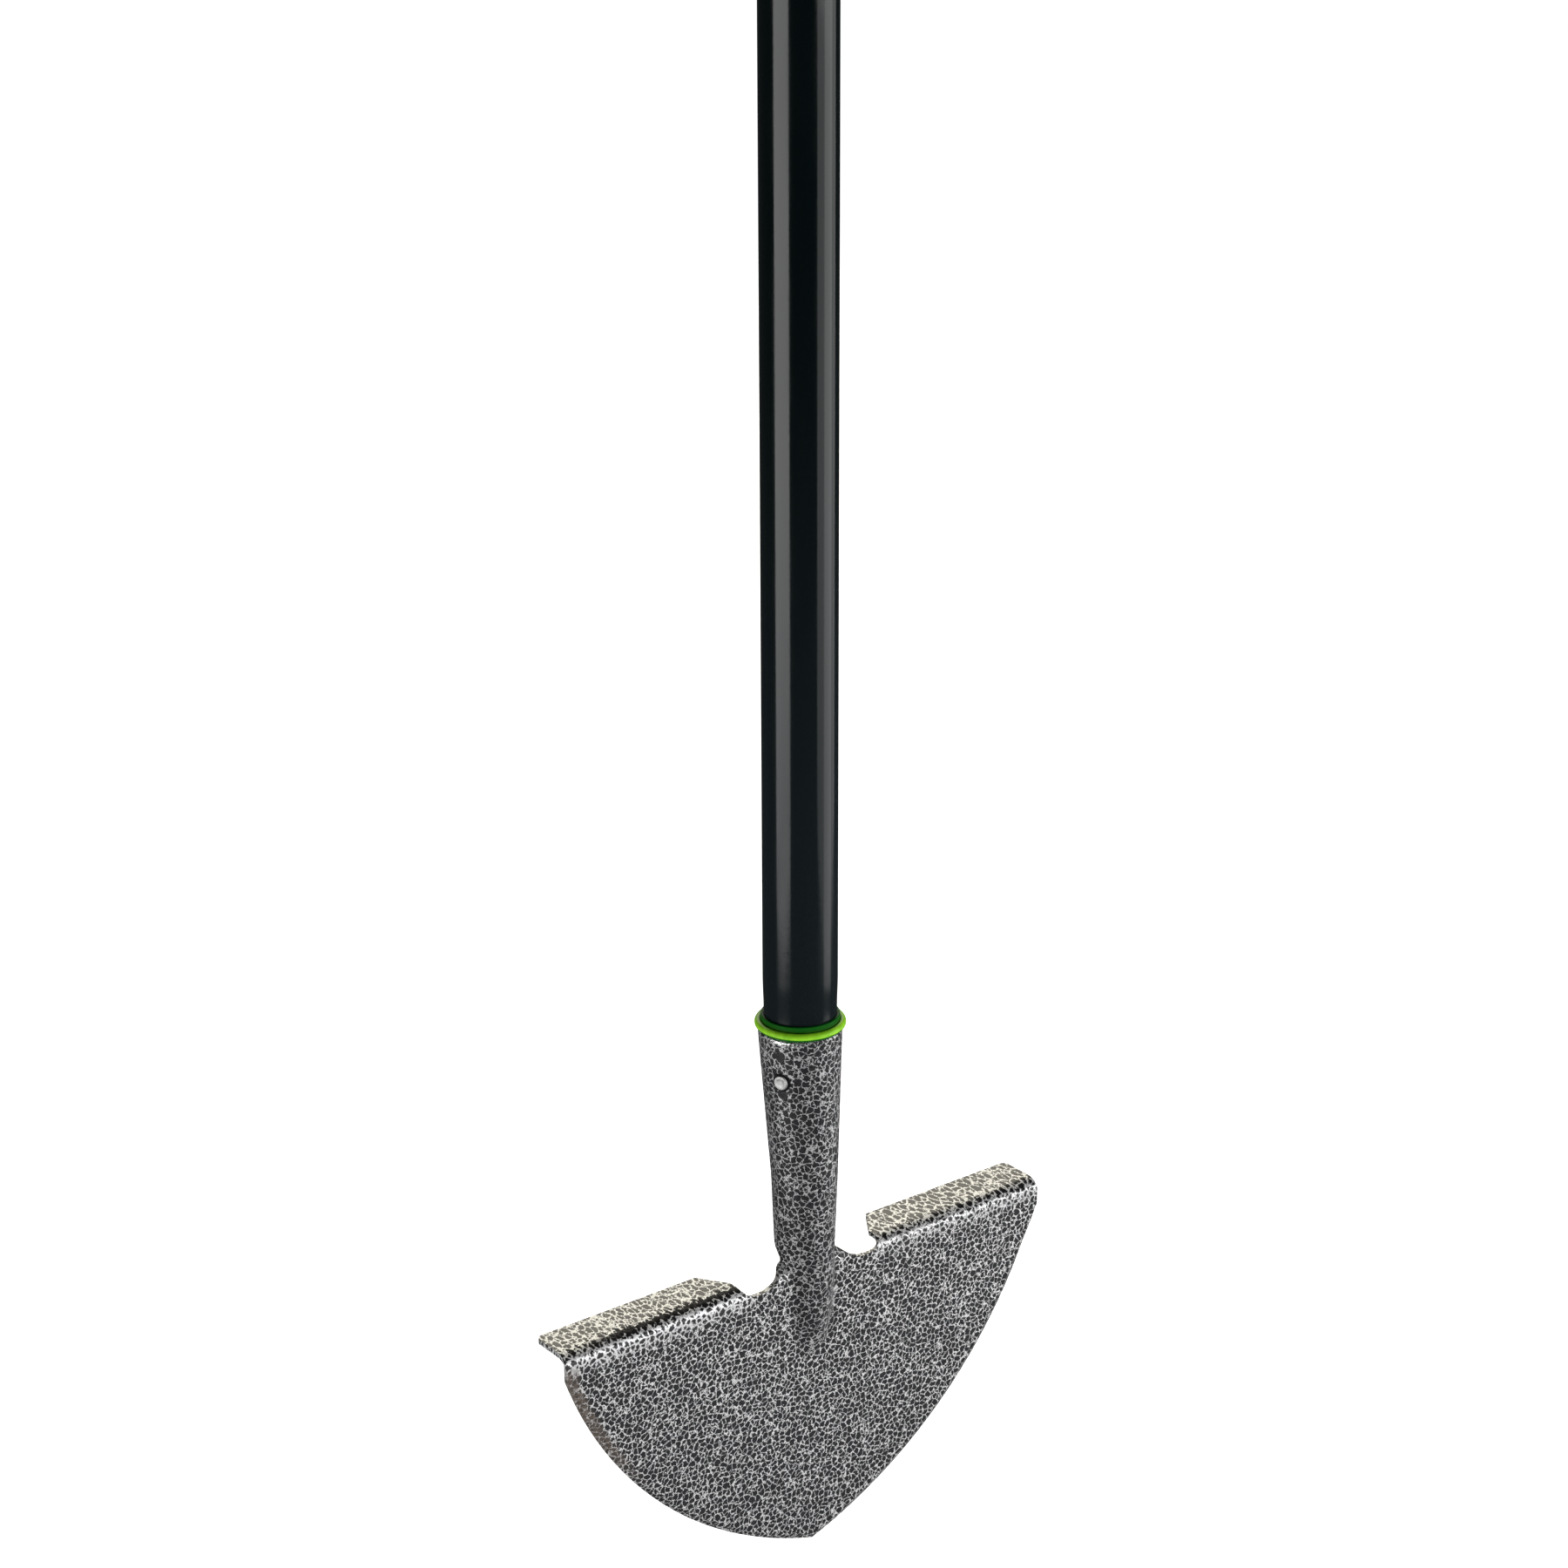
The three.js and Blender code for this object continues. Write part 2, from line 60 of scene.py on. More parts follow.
# ---- Driving dimensions of the pressed head, in millimetres ----
SHEET = 2.0
TREAD_TOP = 116.9
BLADE_HALF_WIDTH = box_mm("edger_head")[1].x
BLADE_FACE_Y = -8.05
EDGE_CENTRE_X = 50.7
EDGE_CENTRE_Z = 162.2
BEVEL_WIDTH = 2.4
BEVEL_DEPTH = 1.3
BEVEL_RUN_OUT = 14.0

TREAD_DEPTH = 19.4
FOLD_HEIGHT = 4.0
FOLD_DEPTH = 6.0
TREAD_CORNER = 2.5
NOTCH_X = 25.5
NOTCH_RADIUS = 7.0
TREAD_END_STRAIGHT = 8.0
TREAD_END_SLANT = 0.68

RIM_Z = box_mm("edger_head")[1].z
KNEE_Z = TREAD_TOP + 35
LEAN_TOP_Z = TREAD_TOP + 88
RIM_RADIUS = 15.35
KNEE_RADIUS = 12.2
NECK_RADIUS = 10.9
SOCKET_LEAN = 2.3
RIDGE_LENGTH = 37.0
ROOT_FILLET = 4.0
NECK_NOTCH_WIDTH = 10.0
NECK_NOTCH_HEIGHT = 6.0
ROLL_START_Z = TREAD_TOP - 2
ROLL_END_Z = TREAD_TOP + 14
SEAM_START_Z = TREAD_TOP + 16
SEAM_GAP = 0.8
SHEET_EDGE_ROUND = 0.35
RIM_ROUND = 1.0

# ---- Shaft, collar, rivet, grip and cap, in millimetres ----
TUBE_RADIUS = box_mm("shaft_tube")[1].x
TUBE_WALL = 1.2
SLEEVE_RADIUS = box_mm("shaft_sleeve")[1].x
SLEEVE_WALL = 0.6
SLEEVE_ROLL_IN = 0.3
CLEARANCE = 0.3
RIVET_Z = (box_mm("socket_rivet")[0].z + box_mm("socket_rivet")[1].z) / 2
RIVET_TURN = math.radians(-67)
RIVET_SHANK = 1.9
RIVET_HEAD = 2.65
RIVET_HEAD_HEIGHT = 0.8
BEAD_RADIUS = 1.5
COLLAR_NECK = 14.3
GRIP_RADIUS = 16.0
GRIP_RIBS = 7
GRIP_RIB_PITCH = 15.0
GRIP_GROOVE = 0.9
GRIP_LIP_HEIGHT = 5.0
CAP_FLANGE = 5.0
CAP_STEM = 22.0
EYE_RADIUS = 10.0
EYE_HOLE = 4.75
EYE_THICKNESS = 8.0

# ---- Marks in the head's paint, and its painted glint, highlight, reflection and shade, in millimetres and degrees; veins and domes in cells ----
DROP_RISES = (10.0, -4.7)
DROP_RADIUS = 2.3
GLINT_AZIMUTH = -63.0
VEIN_THINNEST = 0.35
VEIN_WIDEST = 1.25
VEIN_CORE = 0.042
VEIN_END = 0.090
DOME_REACH = 0.32
FOLD_LINE_FRONT_Y = -6.8
FOLD_LINE_BACK_Y_LEFT = -2.1
FOLD_LINE_BACK_Y_RIGHT = -4.6
BAND_FOOT_Z = TREAD_TOP - 9.9
BAND_FULL_Z = TREAD_TOP - 4.4
EDGE_REFLECTION_FOOT_Z = 45.0
EDGE_REFLECTION_FULL_Z = 85.0

# ---- Linear colours of the head's paint, and of its painted highlight, glint, reflection and shade ----
CELL_DARK = (0.008, 0.008, 0.010)
CELL_GREY = (0.034, 0.034, 0.036)
FLAKE_GREY = (0.78, 0.78, 0.785)
FLAKE_WHITE = (1.0, 1.0, 1.0)
FLAKE_IN_HIGHLIGHT = (0.93, 0.93, 0.94)
FLAKE_ON_SOCKET = (0.66, 0.66, 0.665)
EDGE_REFLECTION_BROWN = (0.095, 0.075, 0.062)
GLINT_METAL = (0.95, 0.95, 0.95)
SHADE_BLACK = (0.006, 0.006, 0.007)

# ---- How finely the surfaces are divided ----
ARC_COLUMNS = 22
FILLET_COLUMNS = 7
STRIP_EDGE_COLUMNS = 6
FLAT_COLUMNS = 40
LOWER_ROWS = 70
RIDGE_ROWS = 34
NOTCH_ROWS = 14
WING_ROWS = 14
SOCKET_ROWS = 36
RIM_ROWS = 8
FOLD_ROWS = 14
TREAD_ROWS = 8
CORNER_ROWS = 8
ROUND_SEGMENTS = 96
MOULD_VOXEL = 0.4

# ---- The studio: camera and floor in millimetres and degrees, dome in metres ----
CAMERA_AZIMUTH = -37.9053
CAMERA_ELEVATION = 20.42227
CAMERA_ROLL = math.radians(-0.18905)
CAMERA_DISTANCE = 1187.896
CAMERA_SIDEWAYS = 5.560663
CAMERA_AIM_Z = TREAD_TOP + 185.9125
FLOOR_HALF = 12000
DOME_RADIUS = 14

edge_radius = math.hypot(EDGE_CENTRE_X, EDGE_CENTRE_Z)
fold_length = math.pi / 4 * (FOLD_HEIGHT + FOLD_DEPTH)
slant_start = fold_length + TREAD_END_STRAIGHT - FOLD_DEPTH
notch_bottom = TREAD_TOP - FOLD_HEIGHT
neck_top = notch_bottom + NECK_NOTCH_HEIGHT
ridge_end = TREAD_TOP - RIDGE_LENGTH
ridge_height_at_tread = BLADE_FACE_Y + SOCKET_LEAN + NECK_RADIUS
shoulder_reach = BLADE_HALF_WIDTH + EDGE_CENTRE_X
shoulder_z = EDGE_CENTRE_Z - math.sqrt(edge_radius**2 - shoulder_reach**2)


def clamp(value):
    return max(0.0, min(1.0, value))


def lerp(a, b, t):
    return a + (b - a) * t


def direction(azimuth, elevation):
    """Unit vector towards a place round the tool. Azimuth 0 is in front, 90 to its right."""
    a = math.radians(azimuth)
    e = math.radians(elevation)
    return Vector((math.sin(a) * math.cos(e), -math.cos(a) * math.cos(e), math.sin(e)))


def smoothstep(x, low, high):
    t = clamp((x - low) / (high - low))
    return t * t * (3 - 2 * t)


def spaced(start, end, steps):
    return [lerp(start, end, i / steps) for i in range(steps + 1)]


# ---- The pressed head's sheet ----
def socket_radius(z):
    """The socket tapers fast from the rim to the knee, then slowly to the neck."""
    if z > KNEE_Z:
        return lerp(KNEE_RADIUS, RIM_RADIUS, (z - KNEE_Z) / (RIM_Z - KNEE_Z))
    return lerp(NECK_RADIUS, KNEE_RADIUS, clamp((z - TREAD_TOP) / (KNEE_Z - TREAD_TOP)))


def socket_centre_y(z):
    """Its centre line leans forward, so that its front runs down into the blade."""
    return -SOCKET_LEAN * clamp((LEAN_TOP_Z - z) / (LEAN_TOP_Z - KNEE_Z))


def ridge_height(z):
    return ridge_height_at_tread * (1 - clamp((TREAD_TOP - z) / RIDGE_LENGTH) ** 2)


def roll_angle(z):
    """Angle that the rolled arc turns through each side before the root fillet."""
    opened = math.acos(1 - ridge_height(z) / (NECK_RADIUS + ROOT_FILLET))
    return lerp(opened, math.pi, smoothstep(z, ROLL_START_Z, ROLL_END_Z))


def roll_take_up(angle):
    """Sheet length that the arc and the fillet take up beyond their width."""
    return (NECK_RADIUS + ROOT_FILLET) * (angle - math.sin(angle))


def strip_half_width(z, flat_edge):
    """Half width of the rolled strip, measured along the sheet."""
    if z <= notch_bottom:
        return flat_edge + roll_take_up(roll_angle(z))
    rise = clamp((z - notch_bottom) / NECK_NOTCH_HEIGHT)
    neck = NOTCH_X - NECK_NOTCH_WIDTH * math.sqrt(1 - (1 - rise) ** 2)
    opened = neck + roll_take_up(roll_angle(notch_bottom))
    closed = math.pi * socket_radius(z) - SEAM_GAP / 2
    return lerp(opened, closed, smoothstep(z, neck_top, SEAM_START_Z))


def strip_stations(half, z):
    """Columns of the strip, as distances along the sheet from its left edge to its right.

    On the blade they follow the arc and the fillet; up the socket they spread out evenly."""
    arc_end = min(socket_radius(z) * roll_angle(z), half)
    fillet_end = min((socket_radius(z) + ROOT_FILLET) * roll_angle(z), half)
    followed = spaced(0, arc_end, ARC_COLUMNS)
    followed += spaced(arc_end, fillet_end, FILLET_COLUMNS)[1:]
    followed += spaced(fillet_end, half, STRIP_EDGE_COLUMNS)[1:]
    even = spaced(0, half, len(followed) - 1)
    evenness = smoothstep(z, notch_bottom, SEAM_START_Z)
    right = [lerp(a, b, evenness) for a, b in zip(followed, even)]
    return [-s for s in reversed(right[1:])] + right


def sheet_point(x, y, z, normal, depth=0.0):
    """A point of the sheet: its outer face and the inner face behind it."""
    place = Vector((x, y, z))
    return place - depth * normal, place - SHEET * normal


def rim_rounding(z):
    """How far the outer face has rounded in, close under the socket's rim."""
    along = clamp((z - RIM_Z + RIM_ROUND) / RIM_ROUND)
    return RIM_ROUND * (1 - math.sqrt(1 - along**2))


def strip_point(s, z):
    """The rolled strip's surface, s along the sheet from the front centre line."""
    radius = socket_radius(z)
    angle = roll_angle(z)
    on_blade = z < TREAD_TOP
    front_y = BLADE_FACE_Y - ridge_height(z) if on_blade else socket_centre_y(z) - radius
    side = math.copysign(1, s)
    length = abs(s)
    if length <= radius * angle:
        turn = length / radius
        x = radius * math.sin(turn)
        y = front_y + radius * (1 - math.cos(turn))
    else:
        turn = max(angle - (length - radius * angle) / ROOT_FILLET, 0)
        flat = max(length - (radius + ROOT_FILLET) * angle, 0)
        x = (radius + ROOT_FILLET) * math.sin(angle) - ROOT_FILLET * math.sin(turn) + flat
        arc_y = front_y + radius * (1 - math.cos(angle))
        y = arc_y + ROOT_FILLET * (math.cos(turn) - math.cos(angle))
    normal = Vector((side * math.sin(turn), -math.cos(turn), 0))
    return sheet_point(side * x, y, z, normal, rim_rounding(z))


def blade_point(x, z, depth=0.0):
    return sheet_point(x, BLADE_FACE_Y, z, Vector((0, -1, 0)), depth)


def bevel_fade(z):
    return clamp((shoulder_z - z) / BEVEL_RUN_OUT)


def edge_half_width(z, inset):
    if z > shoulder_z:
        return BLADE_HALF_WIDTH
    return math.sqrt((edge_radius - inset) ** 2 - (z - EDGE_CENTRE_Z) ** 2) - EDGE_CENTRE_X


def outline_point(inner_x, z):
    """The blade's outline beside a point on the inner edge of the ground bevel."""
    fade = bevel_fade(z)
    if inner_x == 0:
        return blade_point(0, 0, BEVEL_DEPTH)
    if fade == 0:
        return blade_point(inner_x, z)
    dx = abs(inner_x) + EDGE_CENTRE_X
    dz = z - EDGE_CENTRE_Z
    grow = edge_radius / math.hypot(dx, dz)
    x = math.copysign(dx * grow - EDGE_CENTRE_X, inner_x)
    return blade_point(x, EDGE_CENTRE_Z + dz * grow, BEVEL_DEPTH * fade)


def blade_row(z):
    half = edge_half_width(z, BEVEL_WIDTH * bevel_fade(z))
    full_half = edge_half_width(ridge_end, BEVEL_WIDTH)
    strip_edge = NOTCH_X * half / full_half if z < ridge_end else NOTCH_X
    flat = spaced(half, strip_edge, FLAT_COLUMNS)[:-1]
    stations = strip_stations(strip_half_width(z, strip_edge), z)
    row = [outline_point(-half, z)]
    row += [blade_point(-x, z) for x in flat]
    row += [strip_point(s, z) for s in stations]
    row += [blade_point(x, z) for x in reversed(flat)]
    return row + [outline_point(half, z)]


def blade_rows():
    """Rows from the tip upwards, evenly spaced along the cutting edge, then up the ridge."""
    inner_radius = edge_radius - BEVEL_WIDTH
    tip_turn = math.asin(EDGE_CENTRE_X / inner_radius)
    end_turn = math.acos((EDGE_CENTRE_Z - ridge_end) / inner_radius)
    tip_z = EDGE_CENTRE_Z - inner_radius * math.cos(tip_turn)
    columns = len(blade_row(ridge_end)) - 2
    rows = [[outline_point(0, 0)] + [blade_point(0, tip_z)] * columns + [outline_point(0, 0)]]
    for turn in spaced(tip_turn, end_turn, LOWER_ROWS)[1:-1]:
        rows.append(blade_row(EDGE_CENTRE_Z - inner_radius * math.cos(turn)))
    top_turn = math.asin(FOLD_HEIGHT / RIDGE_LENGTH)
    for turn in spaced(math.pi / 2, top_turn, RIDGE_ROWS):
        rows.append(blade_row(TREAD_TOP - RIDGE_LENGTH * math.sin(turn)))
    return rows


def socket_rows():
    notch_turns = spaced(0, math.pi / 2, NOTCH_ROWS)
    rim_turns = spaced(0, math.pi / 2, RIM_ROWS)[1:]
    heights = [notch_bottom + NECK_NOTCH_HEIGHT * (1 - math.cos(turn)) for turn in notch_turns]
    heights += spaced(neck_top, SEAM_START_Z, WING_ROWS)[1:]
    heights += spaced(SEAM_START_Z, RIM_Z - RIM_ROUND, SOCKET_ROWS)[1:]
    heights += [RIM_Z - RIM_ROUND * (1 - math.sin(turn)) for turn in rim_turns]
    return [strip_row(z) for z in heights]


def strip_row(z):
    stations = strip_stations(strip_half_width(z, NOTCH_X), z)
    return [strip_point(s, z) for s in stations]


def tread_point(x, v):
    """A point of the tread's sheet, v along the sheet from the foot of the fold."""
    turn = math.pi / 2 * min(v / fold_length, 1)
    flat = max(v - fold_length, 0)
    y = BLADE_FACE_Y + FOLD_DEPTH * (1 - math.cos(turn)) + flat
    z = notch_bottom + FOLD_HEIGHT * math.sin(turn)
    normal = Vector((0, -FOLD_HEIGHT * math.cos(turn), FOLD_DEPTH * math.sin(turn)))
    return sheet_point(x, y, z, normal.normalized())


def tread_inner_x(v):
    """The tread's inner end: round at the notch, straight, then slanting out to its back edge."""
    if v < NOTCH_RADIUS:
        return NOTCH_X + math.sqrt(NOTCH_RADIUS**2 - (NOTCH_RADIUS - v) ** 2)
    return NOTCH_X + NOTCH_RADIUS + max(v - slant_start, 0) * TREAD_END_SLANT


def tread_stations():
    """A tread's rows: distance along the sheet from the fold's foot, and the outer end's x."""
    length = fold_length + TREAD_DEPTH - FOLD_DEPTH
    # The first rows crowd together, where the notch's round end starts level.
    straight = [fold_length * t**1.5 for t in spaced(0, 1, FOLD_ROWS)]
    straight += spaced(slant_start, length - TREAD_CORNER, TREAD_ROWS)[:-1]
    stations = [(v, BLADE_HALF_WIDTH) for v in straight]
    for turn in spaced(0, math.pi / 2, CORNER_ROWS):
        v = length - TREAD_CORNER * (1 - math.sin(turn))
        stations.append((v, BLADE_HALF_WIDTH - TREAD_CORNER * (1 - math.cos(turn))))
    return stations


def tread_rows(side):
    rows = []
    for v, outer_x in tread_stations():
        row = [tread_point(side * x, v) for x in spaced(tread_inner_x(v), outer_x, FLAT_COLUMNS)]
        rows.append(row if side > 0 else row[::-1])
    return rows


def sheet_body(grids):
    """Joins grids of sheet points into one closed body: outer, inner and cut edge faces."""
    points = []
    lookup = {}
    faces = []

    def index_of(point):
        key = tuple(round(c, 3) for c in point[0])
        if key not in lookup:
            lookup[key] = len(points)
            points.append(point)
        return lookup[key]

    for rows in grids:
        cells = [[index_of(point) for point in row] for row in rows]
        for lower, upper in zip(cells, cells[1:]):
            for c in range(len(lower) - 1):
                corners = [lower[c], lower[c + 1], upper[c + 1], upper[c]]
                face = list(dict.fromkeys(corners))
                if len(face) > 2:
                    faces.append(face)
    edges = {(f[i - 1], f[i]) for f in faces for i in range(len(f))}
    back = len(points)
    body = faces + [[back + i for i in reversed(face)] for face in faces]
    body += [[b, a, back + a, back + b] for a, b in edges if (b, a) not in edges]
    return [outer for outer, _ in points] + [inner for _, inner in points], body


# ---- Making pieces ----
def add_piece(name, points, faces, sharp_degrees=30):
    """A smooth-shaded mesh object from points in millimetres."""
    mesh = bpy.data.meshes.new(name)
    mesh.from_pydata([Vector(p) * MM for p in points], [], faces)
    mesh.validate()
    mesh.polygons.foreach_set("use_smooth", [True] * len(mesh.polygons))
    mesh.set_sharp_from_angle(angle=math.radians(sharp_degrees))
    piece = bpy.data.objects.new(name, mesh)
    bpy.context.scene.collection.objects.link(piece)
    return piece


def dress(piece, node, material):
    """Gives a piece its material and its CAD body, and hides the CAD node that it stands for."""
    piece.data.materials.clear()
    piece.data.materials.append(material)
    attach(piece, BODY)
    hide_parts(node)
    return piece


def turned(name, profile, segments=ROUND_SEGMENTS):
    """Turns a profile of (radius, z) points about Z.

    A profile that starts and ends on the axis gets poles there; any other one is closed."""
    points = []
    rings = []
    faces = []
    for radius, z in profile:
        count = segments if radius > 0 else 1
        turns = [2 * math.pi * i / segments for i in range(count)]
        rings.append(range(len(points), len(points) + count))
        points += [(radius * math.cos(t), radius * math.sin(t), z) for t in turns]
    closed = profile[0][0] > 0
    pairs = zip(rings, rings[1:] + rings[:1]) if closed else zip(rings, rings[1:])
    for low, high in pairs:
        for i in range(segments):
            j = (i + 1) % segments
            around = ((low, i), (low, j), (high, j), (high, i))
            corners = [ring[k % len(ring)] for ring, k in around]
            faces.append(list(dict.fromkeys(corners)))
    return add_piece(name, points, faces)


def arc(centre_r, centre_z, radius, start_degrees, end_degrees, steps):
    turns = [math.radians(d) for d in spaced(start_degrees, end_degrees, steps)]
    return [(centre_r + radius * math.cos(t), centre_z + radius * math.sin(t)) for t in turns]


def combine(piece, other, operation):
    """Joins another closed mesh to a piece, or cuts it out, and removes the other."""
    modifier = piece.modifiers.new(operation, "BOOLEAN")
    modifier.object = other
    modifier.operation = operation
    modifier.solver = "EXACT"
    apply_modifiers(piece)
    bpy.data.objects.remove(other)


def apply_modifiers(piece):
    evaluated = piece.evaluated_get(bpy.context.evaluated_depsgraph_get())
    mesh = bpy.data.meshes.new_from_object(evaluated)
    piece.modifiers.clear()
    piece.data = mesh


def round_edges(piece, width):
    modifier = piece.modifiers.new("round_edges", "BEVEL")
    modifier.width = width * MM
    modifier.segments = 3
    modifier.limit_method = "ANGLE"
    modifier.angle_limit = math.radians(50)
    modifier.harden_normals = True


def mould_together(piece):
    """Melts a joined mesh into one skin with softened corners."""
    remesh = piece.modifiers.new("mould", "REMESH")
    remesh.mode = "VOXEL"
    remesh.voxel_size = MOULD_VOXEL * MM
    remesh.use_smooth_shade = True
    soften = piece.modifiers.new("soften", "SMOOTH")
    soften.factor = 0.5
    soften.iterations = 5
    apply_modifiers(piece)


def lay_on_rivet(piece):
    """Turns a piece made along Z onto the rivet's axis."""
    turn = Matrix.Rotation(RIVET_TURN, 4, "Z") @ Matrix.Rotation(math.pi / 2, 4, "X")
    place = Matrix.Translation(Vector((0, socket_centre_y(RIVET_Z), RIVET_Z)) * MM)
    piece.data.transform(place @ turn)
    return piece


def rod(radius, half_length):
    """The profile of a plain rod with closed ends."""
    return [(0, -half_length), (radius, -half_length), (radius, half_length), (0, half_length)]


def rivet_hole():
    profile = rod(RIVET_SHANK + CLEARANCE, 2 * RIM_RADIUS)
    return lay_on_rivet(turned("rivet_hole", profile, segments=40))


# ---- Materials ----
class Nodes:
    """Short calls that build one material's node tree."""

    def __init__(self, name):
        self.material = bpy.data.materials.new(name)
        self.material.use_nodes = True
        self.tree = self.material.node_tree
        self.shader = self.tree.nodes["Principled BSDF"]

    def add(self, kind, inputs=(), **settings):
        """Adds a node, sets its options, and links or sets its inputs."""
        node = self.tree.nodes.new("ShaderNode" + kind)
        for key, value in settings.items():
            setattr(node, key, value)
        self.feed(node, dict(inputs))
        return node

    def feed(self, node, inputs):
        for socket, value in inputs.items():
            if isinstance(value, bpy.types.NodeSocket):
                self.tree.links.new(value, node.inputs[socket])
            else:
                node.inputs[socket].default_value = value

    def set(self, **values):
        """Sets or links the main shader's sockets, named with _ for a space."""
        named = {key.replace("_", " "): value for key, value in values.items()}
        self.feed(self.shader, named)

    def position(self):
        return self.add("TexCoord").outputs["Object"]

    def noise(self, vector, size_mm, detail=2.0, output="Fac"):
        inputs = {"Vector": vector, "Scale": 1 / (size_mm * MM), "Detail": detail}
        return self.add("TexNoise", inputs).outputs[output]

    def math(self, operation, a, b=0.0, c=0.0):
        return self.add("Math", {0: a, 1: b, 2: c}, operation=operation).outputs[0]

    def vector_math(self, operation, a, b=(0, 0, 0), output="Vector"):
        return self.add("VectorMath", {0: a, 1: b}, operation=operation).outputs[output]

    def blend(self, factor, a, b):
        """Mixes two numbers."""
        return self.add("Mix", {0: factor, 2: a, 3: b}, data_type="FLOAT").outputs[0]

    def separate(self, vector, axis):
        return self.add("SeparateXYZ", {0: vector}).outputs[axis]

    def length(self, vector):
        return self.vector_math("LENGTH", vector, output="Value")

    def product(self, first, *others):
        for other in others:
            first = self.math("MULTIPLY", first, other)
        return first

    def inverse(self, mask):
        return self.math("SUBTRACT", 1.0, mask)

    def remap(self, value, low, high, to_low=0.0, to_high=1.0):
        """A smooth step between two limits, which may run downwards."""
        inputs = {"Value": value, 1: low, 2: high, 3: to_low, 4: to_high}
        return self.add("MapRange", inputs, interpolation_type="SMOOTHSTEP").outputs["Result"]

    def remap_mm(self, value, low, high, to_low=0.0, to_high=1.0):
        """The same, for a value in metres and limits in millimetres."""
        return self.remap(value, low * MM, high * MM, to_low, to_high)

    def mix(self, factor, a, b):
        """Mixes two colours, given as (r, g, b) or as sockets."""
        node = self.add("Mix", {0: factor}, data_type="RGBA")
        for socket, colour in {6: a, 7: b}.items():
            linked = isinstance(colour, bpy.types.NodeSocket)
            self.feed(node, {socket: colour if linked else (*colour, 1)})
        return node.outputs[2]

    def bump(self, height, depth_mm, strength=1.0):
        inputs = {"Height": height, "Distance": depth_mm * MM, "Strength": strength}
        return self.add("Bump", inputs).outputs["Normal"]


def distorted(nodes, vector, size_mm, shift_mm, detail):
    """The vector, pushed about by a colour noise of that size."""
    push = nodes.noise(vector, size_mm, detail, output="Color")
    centred = nodes.vector_math("SUBTRACT", push, (0.5, 0.5, 0.5))
    shift = nodes.vector_math("MULTIPLY", centred, (2 * shift_mm * MM,) * 3)
    return nodes.vector_math("ADD", vector, shift)


def vein_distance(nodes, vector, cell_mm):
    """Distance to the nearest cell border, in cells."""
    inputs = {"Vector": vector, "Scale": 1 / (cell_mm * MM)}
    return nodes.add("TexVoronoi", inputs, feature="DISTANCE_TO_EDGE").outputs["Distance"]


def rivet_distance(nodes, here):
    """Distance from the rivet's axis, in metres."""
    centre = Vector((0, socket_centre_y(RIVET_Z), RIVET_Z)) * MM
    axis = (math.sin(RIVET_TURN), -math.cos(RIVET_TURN), 0)
    offset = nodes.vector_math("SUBTRACT", here, centre)
    across = nodes.vector_math("CROSS_PRODUCT", offset, axis)
    return nodes.length(across)


def paint_drops(nodes, here):
    """Two round drops of thicker paint, above and below the near end of the rivet."""
    mask = 0.0
    outwards = Vector((math.sin(RIVET_TURN), -math.cos(RIVET_TURN), 0))
    for rise in DROP_RISES:
        z = RIVET_Z + rise
        drop = Vector((0, socket_centre_y(z), z)) + socket_radius(z) * outwards
        away = nodes.length(nodes.vector_math("SUBTRACT", here, drop * MM))
        mask = nodes.math("MAXIMUM", mask, nodes.remap_mm(away, DROP_RADIUS, DROP_RADIUS - 0.5))
    return mask


def vein_network(nodes, here, cell_mm, stretch, thickness):
    """Cell domes and the flake veins between them, with cells stretched along Y."""
    bent = distorted(nodes, here, size_mm=1.1, shift_mm=1.0, detail=3.0)
    squeezed = nodes.vector_math("MULTIPLY", bent, (1, 1 / stretch, 1))
    distance = vein_distance(nodes, squeezed, cell_mm)
    width = nodes.remap(nodes.noise(here, 1.3), 0.32, 0.68, VEIN_THINNEST, VEIN_WIDEST)
    in_widths = nodes.math("DIVIDE", distance, width)
    vein = nodes.remap(in_widths, VEIN_CORE * thickness, VEIN_END * thickness, 1.0, 0.0)
    dome = nodes.remap(distance, 0.0, DOME_REACH)
    return dome, vein


def fold_shadow(nodes, here, height, dome):
    """Painted shade: the dark line along the fold, standing in for a dark reflection; broad and
    whole on the left, dark cells on the right.
    """
    across = nodes.separate(here, "X")
    beside = nodes.remap_mm(nodes.math("ABSOLUTE", across), NOTCH_X + 0.5, NOTCH_X + 5.5)
    on_top = nodes.remap_mm(height, TREAD_TOP - 2.7, TREAD_TOP - 2.2)
    right = nodes.remap_mm(across, -10, 10)
    wander = nodes.math("MULTIPLY_ADD", nodes.noise(here, 2.0, detail=3.0), 6 * MM, -3 * MM)
    teeth = nodes.math("MULTIPLY_ADD", dome, 2.2 * MM, -1.1 * MM)
    back = nodes.math("ADD", nodes.separate(here, "Y"), wander)
    front_limit = nodes.math("ADD", back, teeth)
    behind_front = nodes.remap_mm(front_limit, FOLD_LINE_FRONT_Y, FOLD_LINE_FRONT_Y + 0.4)
    line_back = nodes.blend(right, FOLD_LINE_BACK_Y_LEFT * MM, FOLD_LINE_BACK_Y_RIGHT * MM)
    to_back = nodes.math("SUBTRACT", line_back, nodes.math("SUBTRACT", back, teeth))
    before_back = nodes.remap_mm(to_back, 0.0, 0.4)
    from_end = nodes.remap_mm(across, 5 - BLADE_HALF_WIDTH, 25 - BLADE_HALF_WIDTH)
    whole = nodes.product(nodes.inverse(right), from_end)
    filled = nodes.math("MAXIMUM", nodes.remap(dome, 0.25, 0.45), whole)
    return nodes.product(behind_front, before_back, filled, on_top, beside)


